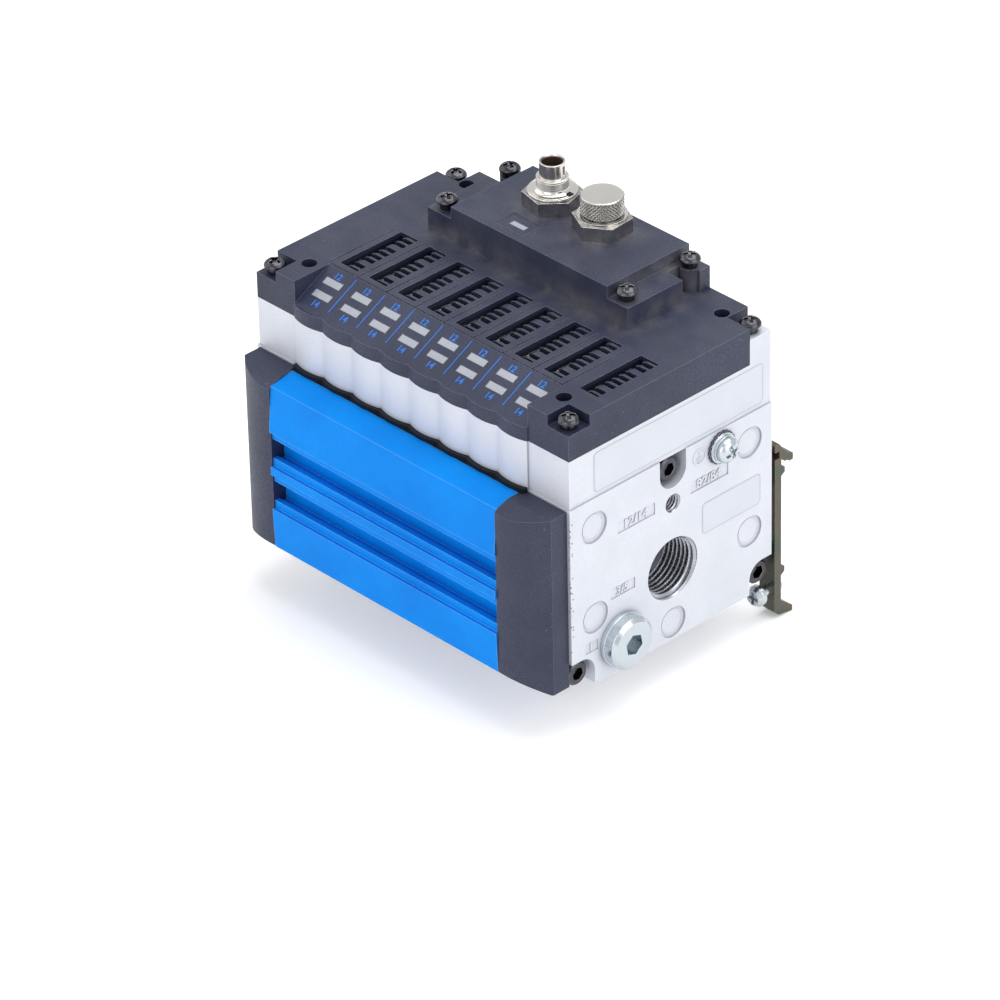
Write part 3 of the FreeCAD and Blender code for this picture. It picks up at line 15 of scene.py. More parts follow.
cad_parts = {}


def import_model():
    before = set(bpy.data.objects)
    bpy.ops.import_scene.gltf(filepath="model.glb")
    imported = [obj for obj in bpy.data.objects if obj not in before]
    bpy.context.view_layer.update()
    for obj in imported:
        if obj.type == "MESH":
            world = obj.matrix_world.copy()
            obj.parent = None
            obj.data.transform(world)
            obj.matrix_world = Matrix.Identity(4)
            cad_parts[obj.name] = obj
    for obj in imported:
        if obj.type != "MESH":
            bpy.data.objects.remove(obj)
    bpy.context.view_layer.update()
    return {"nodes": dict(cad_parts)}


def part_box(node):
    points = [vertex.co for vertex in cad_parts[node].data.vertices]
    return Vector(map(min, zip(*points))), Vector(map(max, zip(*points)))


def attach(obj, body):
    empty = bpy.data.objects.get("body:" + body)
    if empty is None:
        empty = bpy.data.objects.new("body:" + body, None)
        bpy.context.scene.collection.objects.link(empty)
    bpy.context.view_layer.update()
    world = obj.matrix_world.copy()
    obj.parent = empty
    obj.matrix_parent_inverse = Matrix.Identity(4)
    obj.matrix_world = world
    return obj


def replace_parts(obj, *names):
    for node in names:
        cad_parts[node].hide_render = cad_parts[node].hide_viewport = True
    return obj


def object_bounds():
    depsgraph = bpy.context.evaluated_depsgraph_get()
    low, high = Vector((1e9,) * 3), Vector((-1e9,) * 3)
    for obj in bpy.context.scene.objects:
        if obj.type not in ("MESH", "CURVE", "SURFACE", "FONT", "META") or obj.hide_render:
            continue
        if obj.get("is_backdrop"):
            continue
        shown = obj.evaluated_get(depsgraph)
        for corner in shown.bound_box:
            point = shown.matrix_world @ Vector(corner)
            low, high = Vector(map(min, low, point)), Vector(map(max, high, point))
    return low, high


LOG = logging.getLogger("valve_island")
MM = 0.001
ISLAND = "island"
# Across and up of a shape on the right end plate's outer face, and of an upright one
FACING_RIGHT = ((0.0, 1.0, 0.0), (0.0, 0.0, 1.0))
UPRIGHT = ((1.0, 0.0, 0.0), (0.0, 1.0, 0.0))
SLICE_COUNT = 8
FULL_TURN = 2.0 * np.pi
# Height of a figure as a share of its font's size
FIGURE_SHARE = 0.72

Array = np.ndarray
Triple = tuple[float, float, float]
Pairs = tuple[tuple[float, float], ...]
# Points, and the point numbers of each face
Shape = tuple[Array, Sequence]
# An addition to a turned shape's radius or height, from its angle, height and radius
Relief = Callable[[Array, Array, Array], Array]


@dataclass(frozen=True)
class Datum:
    """The corner datum that every place is measured from, in the row frame.

    Places are millimetres: x from the middle plane, y back from the front face of
    the end plates, z up from their base.
    """

    front: float
    base: float
    right: float

    @classmethod
    def from_frame(cls) -> "Datum":
        """Reads the datum off the right end plate."""
        low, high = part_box("right_end_plate")
        return cls(front=low[1], base=low[2], right=high[0])

    def point(self, x: float, y: float, z: float) -> Vector:
        """Turns a place in millimetres into a point of the row frame in metres."""
        return Vector((x * MM, self.front + y * MM, self.base + z * MM))

    def points(self, places: Array) -> Array:
        """Turns an array of places, whose last axis is x, y, z, into metres."""
        return np.asarray(places) * MM + np.array([0.0, self.front, self.base])


@dataclass(frozen=True)
class Basis:
    """A place with three directions, which carries a flat or round shape."""

    origin: Triple
    across: Triple
    up: Triple

    def out(self) -> Array:
        """The direction that the shape faces."""
        return np.cross(self.across, self.up)

    def place(self, u: Array, v: Array, w: Array) -> Array:
        """Point = origin + u times across + v times up + w times the facing direction."""
        steps = np.stack(np.broadcast_arrays(u, v, w), axis=-1)
        return np.asarray(self.origin) + steps @ np.array([self.across, self.up, self.out()])


def placed(name: str, data: "bpy.types.ID") -> Object:
    """Puts a new object in the scene.

    Args:
        name: its name.
        data: the mesh, curve, light or camera that it holds.

    Returns:
        The object.
    """
    item = bpy.data.objects.new(name, data)
    bpy.context.scene.collection.objects.link(item)
    return item


# Making meshes


def grid_faces(rows: int, columns: int, close_rows: bool, close_columns: bool) -> Array:
    """Quads of a grid of points.

    Args:
        rows: points along the first parameter.
        columns: points along the second parameter.
        close_rows: whether the last row joins the first.
        close_columns: whether the last column joins the first.

    Returns:
        An array of quads, four point numbers each, wound by columns then rows.
    """
    i = np.arange(rows if close_rows else rows - 1)
    j = np.arange(columns if close_columns else columns - 1)
    i, j = (part.ravel() for part in np.meshgrid(i, j, indexing="ij"))
    i2, j2 = (i + 1) % rows, (j + 1) % columns
    return np.stack([i * columns + j, i * columns + j2, i2 * columns + j2, i2 * columns + j],
                    axis=1)


def lathe(profile: Array, around: int, basis: Basis, relief: Relief | None = None,
          lift: Relief | None = None) -> Shape:
    """A round surface: the profile turned about the basis' facing direction.

    The point at profile place k and angle a is radius(k) + relief(a, height, radius)
    out from the axis at angle a, and height(k) + lift(a, height, radius) along it.

    Args:
        profile: rows of radius and height in millimetres, outside wound upward.
        around: points round the axis.
        basis: where the axis stands.
        relief: an addition to the radius, worked out for the whole grid.
        lift: an addition to the height, worked out for the whole grid.

    Returns:
        Points in millimetres and quads.
    """
    angle = np.linspace(0.0, FULL_TURN, around, endpoint=False)[None, :]
    radius = profile[:, 0][:, None] + 0.0 * angle
    height = profile[:, 1][:, None] + 0.0 * angle
    plain = (angle + 0.0 * radius, height, radius)
    if relief is not None:
        radius = radius + relief(*plain)
    if lift is not None:
        height = height + lift(*plain)
    points = basis.place(radius * np.cos(angle), radius * np.sin(angle), height)
    return points.reshape(-1, 3), grid_faces(len(profile), around, False, True)


def box_shape(low: Sequence[float], high: Sequence[float]) -> Shape:
    """A box between two corners: corner = low + 0 or 1 times (high - low).

    Args:
        low: its lowest corner.
        high: its highest corner.

    Returns:
        Eight corners and six faces that point outwards.
    """
    corner = np.array([[0, 0, 0], [1, 0, 0], [1, 1, 0], [0, 1, 0],
                       [0, 0, 1], [1, 0, 1], [1, 1, 1], [0, 1, 1]], float)
    points = np.asarray(low) + corner * (np.asarray(high) - np.asarray(low))
    faces = np.array([[0, 3, 2, 1], [4, 5, 6, 7], [0, 1, 5, 4],
                      [1, 2, 6, 5], [2, 3, 7, 6], [3, 0, 4, 7]])
    return points, faces


def rounded_outline(width: float, height: float, radius: float) -> tuple[Array, Array]:
    """Outline of a rectangle with rounded corners, about its middle.

    Each corner point = the corner's middle + radius times (cos, sin) of an angle that
    runs through that corner's quarter.

    Args:
        width: its width.
        height: its height.
        radius: the corners' radius.

    Returns:
        How far across and how far up each point is.
    """
    quarter = np.arange(4)[:, None]
    angle = (quarter * 0.5 + np.linspace(0.0, 0.5, 7)[None, :]) * np.pi
    sign_u = np.array([1.0, -1.0, -1.0, 1.0])[:, None]
    sign_v = np.array([1.0, 1.0, -1.0, -1.0])[:, None]
    u = sign_u * (width / 2 - radius) + radius * np.cos(angle)
    v = sign_v * (height / 2 - radius) + radius * np.sin(angle)
    return u.ravel(), v.ravel()


def join_parts(parts: Iterable[Shape]) -> Shape:
    """Joins several shapes into one.

    Args:
        parts: the shapes.

    Returns:
        All points, and faces whose numbers count on from shape to shape.
    """
    points, faces, start = [], [], 0
    for part_points, part_faces in parts:
        points.append(np.asarray(part_points).reshape(-1, 3))
        faces.extend((np.asarray(part_faces) + start).tolist())
        start += len(points[-1])
    return np.concatenate(points), faces


# Shader groups shared by the finishes


class Wiring:
    """Adds and joins nodes of one tree."""

    def __init__(self, tree: NodeTree) -> None:
        """Keeps the tree."""
        self.tree = tree

    def give(self, socket: NodeSocket, value: object) -> None:
        """Joins a socket to an input, or sets the input's own value.

        Args:
            socket: the input.
            value: the socket or value that it gets.
        """
        if isinstance(value, NodeSocket):
            self.tree.links.new(value, socket)
        else:
            socket.default_value = value

    def add(self, kind: str, inputs: dict[str | int, object] | None = None,
            **settings: object) -> Node:
        """Adds a node.

        Args:
            kind: Blender's name of the node, without its first words.
            inputs: sockets and values of its inputs.
            settings: its properties.

        Returns:
            The node.
        """
        node = self.tree.nodes.new("ShaderNode" + kind)
        for key, value in settings.items():
            setattr(node, key, value)
        for key, value in (inputs or {}).items():
            self.give(node.inputs[key], value)
        return node

    def place(self) -> NodeSocket:
        """The place on the object."""
        return self.add("TexCoord").outputs["Object"]

    def noise(self, scale: float, detail: float = 3.0) -> NodeSocket:
        """A noise value from 0 to 1, at a scale per metre."""
        return self.add("TexNoise", {"Vector": self.place(), "Scale": scale,
                                     "Detail": detail, "Roughness": 0.55}).outputs["Fac"]

    def math(self, operation: str, first: object, second: object) -> NodeSocket:
        """One arithmetic step on sockets or numbers."""
        return self.add("Math", {0: first, 1: second}, operation=operation).outputs[0]

    def ramp(self, value: NodeSocket, low: float, high: float,
             out_low: float = 0.0, out_high: float = 1.0) -> NodeSocket:
        """Maps a value from one range to another and clamps it."""
        return self.add("MapRange", {"Value": value, "From Min": low, "From Max": high,
                                     "To Min": out_low, "To Max": out_high}).outputs["Result"]

    def mix(self, factor: NodeSocket, first: object, second: Sequence[float]) -> NodeSocket:
        """Mixes two colours.

        Args:
            factor: how much of the second shows.
            first: a socket or three numbers.
            second: three numbers.

        Returns:
            The mixed colour.
        """
        first = first if isinstance(first, NodeSocket) else (*first, 1.0)
        return self.add("Mix", {"Factor": factor, 6: first, 7: (*second, 1.0)},
                        data_type="RGBA").outputs[2]


class Group(Wiring):
    """A shader group with number inputs, closed by naming its outputs."""

    def __init__(self, name: str, inputs: dict[str, float]) -> None:
        """Starts the group.

        Args:
            name: its name.
            inputs: its inputs and their values.
        """
        super().__init__(bpy.data.node_groups.new(name, "ShaderNodeTree"))
        for key, value in inputs.items():
            self.tree.interface.new_socket(
                name=key, in_out="INPUT", socket_type="NodeSocketFloat").default_value = value
        self.given = self.tree.nodes.new("NodeGroupInput").outputs

    def close(self, results: dict[str, NodeSocket]) -> NodeTree:
        """Puts out the results.

        Args:
            results: the group's outputs; only a normal is a vector.

        Returns:
            The group.
        """
        for key in results:
            kind = "NodeSocketVector" if key == "Normal" else "NodeSocketFloat"
            self.tree.interface.new_socket(name=key, in_out="OUTPUT", socket_type=kind)
        end = self.tree.nodes.new("NodeGroupOutput")
        for key, value in results.items():
            self.give(end.inputs[key], value)
        return self.tree


@cache
def grain_group() -> NodeTree:
    """Fine and coarse grain, as a height, a tone and a patchiness mask.

    Returns:
        The group.
    """
    w = Group("surface_grain", {"Fine Scale": 4000.0, "Coarse Scale": 90.0})
    fine, coarse = (w.add("TexNoise", {"Vector": w.place(), "Scale": w.given[key],
                                       "Detail": detail, "Roughness": 0.6}).outputs["Fac"]
                    for key, detail in (("Fine Scale", 2.0), ("Coarse Scale", 4.0)))
    return w.close({"Height": fine, "Tone": w.ramp(fine, 0.3, 0.7),
                    "Patches": w.ramp(coarse, 0.35, 0.65)})


@cache
def edge_group() -> NodeTree:
    """Rounded edges, as a softened normal and a mask that is 1 on edges, through which the
    finishes paint a highlight.

    Returns:
        The group.
    """
    w = Group("edge_normal_and_highlight", {"Radius": 0.0003})
    soft = w.add("Bevel", {"Radius": w.given["Radius"]}, samples=6).outputs["Normal"]
    plain = w.add("NewGeometry").outputs["Normal"]
    likeness = w.add("VectorMath", {0: soft, 1: plain}, operation="DOT_PRODUCT")
    return w.close({"Normal": soft,
                    "Edge": w.ramp(likeness.outputs["Value"], 0.985, 0.86)})


@cache
def speck_group() -> NodeTree:
    """Scattered small dots, as a mask that is 1 in a dot.

    Returns:
        The group.
    """
    w = Group("scattered_specks", {"Scale": 700.0, "Size": 0.16, "Share": 0.2})
    cells = w.add("TexVoronoi", {"Vector": w.place(), "Scale": w.given["Scale"]})
    split = w.add("SeparateColor", {0: cells.outputs["Color"]})
    near = w.math("LESS_THAN", cells.outputs["Distance"],
                  w.math("MULTIPLY", w.given["Size"], split.outputs[1]))
    chosen = w.math("LESS_THAN", split.outputs[0], w.given["Share"])
    return w.close({"Mask": w.math("MULTIPLY", near, chosen)})


class Effect(Enum):
    """What a zone of a finish shows: painted shade all through it, chips, dust, and painted
    shade in its creases.
    """

    # Painted shade all through the zone's box
    SHADE = "shade"
    CHIPS = "chips"
    DUST = "dust"
    # Painted shade in creases and corners
    CREASE = "crease"


@dataclass(frozen=True)
class Zone:
    """A box of the island, in millimetres of its frame, with a look of its own."""

    effect: Effect
    low: Triple
    high: Triple
    colour: Triple
    amount: float = 1.0

    def inside(self, w: Wiring) -> NodeSocket:
        """The box's mask: 1 where the least distance to its six faces is above nothing.

        Args:
            w: the material's wiring.

        Returns:
            The mask.
        """
        place = w.place()
        low, high = ([c * MM for c in corner] for corner in (self.low, self.high))
        above = w.add("VectorMath", {0: place, 1: low}, operation="SUBTRACT")
        below = w.add("VectorMath", {0: high, 1: place}, operation="SUBTRACT")
        least = w.add("VectorMath", {0: above.outputs[0], 1: below.outputs[0]},
                      operation="MINIMUM")
        x, y, z = w.add("SeparateXYZ", {0: least.outputs[0]}).outputs
        return w.math("GREATER_THAN", w.math("MINIMUM", w.math("MINIMUM", x, y), z), 0.0)

    def mask(self, w: Wiring) -> NodeSocket:
        """How strongly the zone's colour shows.

        Args:
            w: the material's wiring.

        Returns:
            The mask.
        """
        inside = w.math("MULTIPLY", self.inside(w), self.amount)
        if self.effect is Effect.CHIPS:
            dots = w.add("Group", {"Scale": 1800.0, "Size": 0.5, "Share": 0.3},
                         node_tree=speck_group())
            return w.math("MULTIPLY", inside, dots.outputs["Mask"])
        # Painted shade: darker where ambient occlusion finds surfaces close by.
        if self.effect is Effect.CREASE:
            near = w.add("AmbientOcclusion", {"Distance": 0.0014}, samples=6)
            return w.math("MULTIPLY", inside, w.ramp(near.outputs["AO"], 0.92, 0.35))
        if self.effect is Effect.DUST:
            near = w.add("AmbientOcclusion", {"Distance": 0.006}, samples=4)
            corner = w.ramp(near.outputs["AO"], 1.0, 0.45, 0.12, 1.0)
            cloud = w.ramp(w.noise(130.0, 5.0), 0.36, 0.66)
            return w.math("MULTIPLY", inside, w.math("MULTIPLY", corner, cloud))
        # A SHADE zone paints shade all through its box.
        return inside


@dataclass(frozen=True)
class Finish:
    """A surface finish with grain, patches and a painted highlight along its edges.

    Colours are linear red, green and blue; roughness runs from low to high over the
    patches, and lengths are metres.
    """

    name: str
    colour: Triple
    second: Triple
    edge_highlight_colour: Triple
    metallic: float = 0.0
    roughness: tuple[float, float] = (0.4, 0.5)
    specular: float = 0.5
    coat: float = 0.0
    fine_scale: float = 4000.0
    coarse_scale: float = 90.0
    bump: float = 0.1
    bump_depth: float = 0.00002
    edge_radius: float = 0.0003
    edge_highlight_amount: float = 0.5
    tint: Triple = (1.0, 1.0, 1.0)
    speck_colour: Triple = (0.3, 0.3, 0.32)
    speck_share: float = 0.0
    speck_scale: float = 700.0
    zones: tuple[Zone, ...] = ()
    grain: float = 0.35

    def build(self) -> Material:
        """Makes the material once.

        Returns:
            The material, the same one each time.
        """
        known = bpy.data.materials.get(self.name)
        if known is not None:
            return known
        material = bpy.data.materials.new(self.name)
        material.use_nodes = True
        material.node_tree.nodes.clear()
        w = Wiring(material.node_tree)
        grain = w.add("Group", {"Fine Scale": self.fine_scale,
                                "Coarse Scale": self.coarse_scale},
                      node_tree=grain_group())
        edge = w.add("Group", {"Radius": self.edge_radius}, node_tree=edge_group())
        tone = grain.outputs["Tone"]
        skin = w.mix(grain.outputs["Patches"], self.colour, self.second)
        skin = w.mix(w.math("MULTIPLY", tone, self.grain), skin, self.second)
        # Painted highlight: edges take the lighter edge highlight colour.
        skin = w.mix(w.math("MULTIPLY", edge.outputs["Edge"], self.edge_highlight_amount), skin,
                     self.edge_highlight_colour)
        if self.speck_share:
            dots = w.add("Group", {"Share": self.speck_share, "Scale": self.speck_scale},
                         node_tree=speck_group())
            skin = w.mix(dots.outputs["Mask"], skin, self.speck_colour)
        for zone in self.zones:
            skin = w.mix(zone.mask(w), skin, zone.colour)
        bump = w.add("Bump", {"Strength": self.bump, "Distance": self.bump_depth,
                              "Height": grain.outputs["Height"],
                              "Normal": edge.outputs["Normal"]})
        shader = w.add("BsdfPrincipled", {
            "Base Color": skin, "Metallic": self.metallic,
            "Roughness": w.ramp(tone, 0.0, 1.0, *self.roughness),
            "Specular IOR Level": self.specular, "Specular Tint": (*self.tint, 1.0),
            "Coat Weight": self.coat, "Coat Roughness": 0.15,
            "Normal": bump.outputs["Normal"]})
        w.add("OutputMaterial", {"Surface": shader.outputs["BSDF"]})
        return material


CHIPPED_EDGE = Zone(Effect.CHIPS, (53.4, -73.5, -14.0), (54.6, -72.2, 33.5),
                    (0.10, 0.10, 0.11))
# Painted shade in creases and corners, all over the island.
PAINTED_CREASE_SHADE = Zone(Effect.CREASE, (-60.0, -90.0, -20.0), (60.0, 20.0, 90.0),
                    (0.24, 0.25, 0.31), 0.75)
# Painted shade inside the comb slots of the electronics cover.
COMB_SHADE = Zone(Effect.SHADE, (-50.5, -59.2, 40.0), (50.5, -38.4, 59.25),
                  (0.003, 0.004, 0.010), 0.9)
# Painted shade in the fine grooves between the combs, and on the slot walls up to the top.
GROOVE_SHADE = Zone(Effect.SHADE, (-41.6, -60.95, 60.00), (41.6, -50.8, 60.37),
                    (0.002, 0.003, 0.007), 0.95)
COVER_DUST = Zone(Effect.DUST, (-60.0, -60.0, 60.2), (60.0, 0.0, 90.0),
                  (0.20, 0.195, 0.195), 0.6)
CAST = Finish("shot_blasted_casting", (0.70, 0.72, 0.775), (0.63, 0.655, 0.71),
              (0.98, 0.98, 1.0), metallic=0.4, roughness=(0.48, 0.62), specular=0.25,
              fine_scale=2400.0, coarse_scale=70.0, bump=0.55, bump_depth=0.00005,
              edge_radius=0.00014, edge_highlight_amount=1.0, zones=(CHIPPED_EDGE, PAINTED_CREASE_SHADE),
              grain=0.8)
THREAD = Finish("cut_thread", (0.52, 0.53, 0.57), (0.42, 0.43, 0.47), (0.98, 0.98, 1.0),
                metallic=1.0, roughness=(0.22, 0.32), fine_scale=1500.0, bump=0.03,
                edge_radius=0.0001, edge_highlight_amount=0.9, zones=(PAINTED_CREASE_SHADE,))
LABEL = Finish("bare_label", (0.63, 0.652, 0.71), (0.595, 0.62, 0.68), (0.63, 0.65, 0.7),
               roughness=(0.5, 0.58), specular=0.25, fine_scale=3600.0, bump=0.12,
               edge_radius=0.00005, grain=0.6)
# Painted shade along the labels' edges
LABEL_EDGE_SHADE = Finish("label_edge_shade", (0.47, 0.49, 0.545), (0.42, 0.44, 0.49),
                    (0.5, 0.52, 0.57), roughness=(0.4, 0.5), bump=0.02,
                    edge_radius=0.00003)
BLACK = Finish("black_moulding", (0.030, 0.034, 0.066), (0.009, 0.012, 0.034),
               (0.34, 0.35, 0.44), roughness=(0.40, 0.60), specular=0.62,
               tint=(0.82, 0.87, 1.0), fine_scale=2400.0, coarse_scale=45.0, bump=0.6,
               bump_depth=0.00006, edge_radius=0.0001, edge_highlight_amount=0.8, grain=0.8,
               speck_colour=(0.15, 0.15, 0.17), speck_share=0.1, speck_scale=1100.0,
               zones=(COMB_SHADE, GROOVE_SHADE, COVER_DUST))
BUTTON = Finish("button_moulding", (0.012, 0.013, 0.018), (0.009, 0.010, 0.013),
                (0.04, 0.04, 0.05), roughness=(0.35, 0.45), edge_radius=0.0002)
BLUE = Finish("blue_anodised", (0.0, 0.27, 0.85), (0.0, 0.205, 0.72), (0.30, 0.62, 1.0),
              roughness=(0.42, 0.55), specular=0.09, fine_scale=2200.0, coarse_scale=45.0,
              bump=0.4, bump_depth=0.00004, edge_radius=0.0002, edge_highlight_amount=0.8, grain=0.7)
NICKEL = Finish("nickel_plate", (0.75, 0.73, 0.70), (0.66, 0.64, 0.61),
                (0.92, 0.9, 0.88), metallic=1.0, roughness=(0.14, 0.22), fine_scale=900.0,
                bump=0.015, edge_radius=0.00015, edge_highlight_amount=0.6)
KNURL = Finish("knurled_nickel", (0.37, 0.355, 0.345), (0.28, 0.27, 0.26), (0.85, 0.83, 0.8),
               metallic=1.0, roughness=(0.18, 0.28), fine_scale=900.0, bump=0.02,
               edge_radius=0.00008, edge_highlight_amount=0.7)
# Painted shade and a painted brass reflection, for a sheet inside the open socket
SOCKET_SHADE = Finish("socket_inner_shade", (0.22, 0.14, 0.105), (0.12, 0.08, 0.07),
                (0.4, 0.36, 0.33), metallic=0.7, roughness=(0.25, 0.35),
                edge_radius=0.0001)
ZINC = Finish("zinc_plate", (0.60, 0.65, 0.68), (0.55, 0.605, 0.645), (0.85, 0.88, 0.9),
              metallic=1.0, roughness=(0.2, 0.28), fine_scale=1200.0, coarse_scale=160.0,
              bump=0.012, edge_radius=0.00025, edge_highlight_amount=0.6)
OXIDE = Finish("black_oxide", (0.105, 0.105, 0.12), (0.06, 0.06, 0.07), (0.45, 0.45, 0.48),
               metallic=1.0, roughness=(0.14, 0.24), fine_scale=1500.0, bump=0.03,
               edge_radius=0.00018, edge_highlight_amount=0.65)
OLIVE = Finish("olive_chromate", (0.17, 0.105, 0.082), (0.085, 0.115, 0.088),
               (0.34, 0.29, 0.25), metallic=0.85, roughness=(0.25, 0.4), fine_scale=1400.0,
               coarse_scale=110.0, bump=0.05, edge_radius=0.0003, edge_highlight_amount=0.5)
NUT = Finish("nut_nickel", (0.60, 0.57, 0.55), (0.34, 0.325, 0.32), (0.95, 0.93, 0.9),
             metallic=1.0, roughness=(0.12, 0.22), fine_scale=700.0, coarse_scale=420.0,
             bump=0.02, edge_radius=0.00015, edge_highlight_amount=0.8, grain=0.7)
RUBBER = Finish("smooth_rubber", (0.005, 0.006, 0.012), (0.004, 0.005, 0.009),
                (0.02, 0.022, 0.035), roughness=(0.4, 0.55), specular=0.22,
                edge_radius=0.0002)
WINDOW = Finish("window_moulding", (0.365, 0.385, 0.44), (0.30, 0.32, 0.37),
                (0.55, 0.57, 0.61), roughness=(0.22, 0.34), specular=0.5, coat=0.15,
                fine_scale=1500.0, bump=0.08, edge_radius=0.00015)
BOARD = Finish("solder_mask", (0.02, 0.14, 0.07), (0.015, 0.1, 0.05), (0.3, 0.28, 0.15),
               roughness=(0.3, 0.4))
BRASS = Finish("brass_contact", (0.75, 0.55, 0.22), (0.66, 0.46, 0.18), (0.9, 0.75, 0.4),
               metallic=1.0, roughness=(0.2, 0.3))
SPOOL = Finish("ground_spool", (0.60, 0.61, 0.63), (0.5, 0.51, 0.53), (0.8, 0.8, 0.8),
               metallic=1.0, roughness=(0.22, 0.3))
PRINT = Finish("blue_print", (0.01, 0.17, 0.66), (0.01, 0.14, 0.56), (0.02, 0.22, 0.74),
               roughness=(0.45, 0.55), edge_radius=0.00003, bump=0.02)


@dataclass
class SubAssembly:
    """A group of pieces, set out in millimetres from the datum."""

    datum: Datum

    @property
    def right(self) -> float:
        """The outer face of the right end plate."""
        return self.datum.right / MM

    def show(self, name: str, mesh: "bpy.types.Mesh", finish: Finish,
             body: str = ISLAND) -> Object:
        """Dresses a mesh and lets it ride on a body.

        Args:
            name: the piece's name.
            mesh: its mesh, in metres of the row frame.
            finish: the finish that it wears.
            body: the CAD body that it moves with.

        Returns:
            The new object.
        """
        mesh.materials.append(finish.build())
        piece = placed(name, mesh)
        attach(piece, body)
        LOG.info("made %s with %d faces", name, len(mesh.polygons))
        return piece

    def piece(self, name: str, shape: Shape, finish: Finish, slot: str | None = None,
              sharp_angle: float | None = None, body: str = ISLAND) -> Object:
        """Makes a piece of a shape in millimetres.

        Args:
            name: the piece's name.
            shape: its points and faces.
            finish: the finish that it wears.
            slot: the name of a material slot; not used.
            sharp_angle: degrees past which an edge stays sharp, or None for flat faces.
            body: the CAD body that it moves with.

        Returns:
            The new object.
        """
        points, faces = shape
        mesh = bpy.data.meshes.new(name)
        mesh.from_pydata(self.datum.points(points).reshape(-1, 3).tolist(), [],
                         [list(map(int, face)) for face in faces])
        mesh.validate()
        mesh.update()
        smooth = sharp_angle is not None
        mesh.polygons.foreach_set("use_smooth", np.full(len(mesh.polygons), smooth))
        if smooth:
            mesh.set_sharp_from_angle(angle=math.radians(sharp_angle))
        return self.show(name, mesh, finish, body)

    def figures(self, name: str, words: str, size: Triple, matrix: Matrix,
                finish: Finish, slot: str | None = None) -> Object:
        """Raised or printed figures, with their place in their mesh.

        Args:
            name: the piece's name.
            words: the figures.
            size: their height, half their thickness, and how far they are fattened.
            matrix: where they stand, reading along its first axis.
            finish: the finish that they wear.
            slot: the name of their material slot; not used.

        Returns:
            The new object.
        """
        height, thickness, weight = size
        curve = bpy.data.curves.new(name, "FONT")
        curve.body = words
        curve.size = height * MM / FIGURE_SHARE
        curve.extrude = thickness * MM
        curve.offset = weight * MM
        curve.resolution_u = 3
        curve.align_x = curve.align_y = "CENTER"
        source = placed(name + "_source", curve)
        bpy.context.view_layer.update()
        mesh = bpy.data.meshes.new_from_object(
            source.evaluated_get(bpy.context.evaluated_depsgraph_get()))
        bpy.data.objects.remove(source)
        mesh.transform(matrix)
        mesh.materials.clear()
        mesh.polygons.foreach_set("use_smooth", np.zeros(len(mesh.polygons), bool))
        return self.show(name, mesh, finish)


@dataclass
class FrameDress:
    """Gives each CAD node that shows as it is its own finish."""

    # The first start that fits a node's name gives its finish
    by_start: tuple[tuple[str, Finish], ...] = (
        ("valve_slice", CAST), ("left_end", CAST), ("right_end", CAST),
        ("spool_bore", ZINC), ("spool_", SPOOL), ("override_", BUTTON),
        ("electronics", BLACK), ("light_windows", WINDOW), ("interface", BLACK),
        ("circuit", BOARD), ("cover_screws", OXIDE), ("socket_shell", NICKEL),
        ("socket_nuts", NUT), ("socket_insert", BUTTON), ("protective_cap", NICKEL),
        ("tie_screws", OXIDE), ("supply_plug", ZINC), ("plug_seal", ZINC),
        ("earth_", ZINC), ("rail_bracket", OLIVE), ("bracket_screws", ZINC),
        ("rail_lock", ZINC), ("port_gasket", RUBBER), ("front_rail", BLUE),
        ("rail_cap", BLACK))

    def build(self, nodes: dict[str, Object]) -> None:
        """Dresses every node.

        Args:
            nodes: the frame's nodes by name.
        """
        for name, node in nodes.items():
            finish = next(f for start, f in self.by_start if name.startswith(start))
            node.data.materials.clear()
            node.data.materials.append(finish.build())
            LOG.info("dressed %s in %s", name, finish.name)


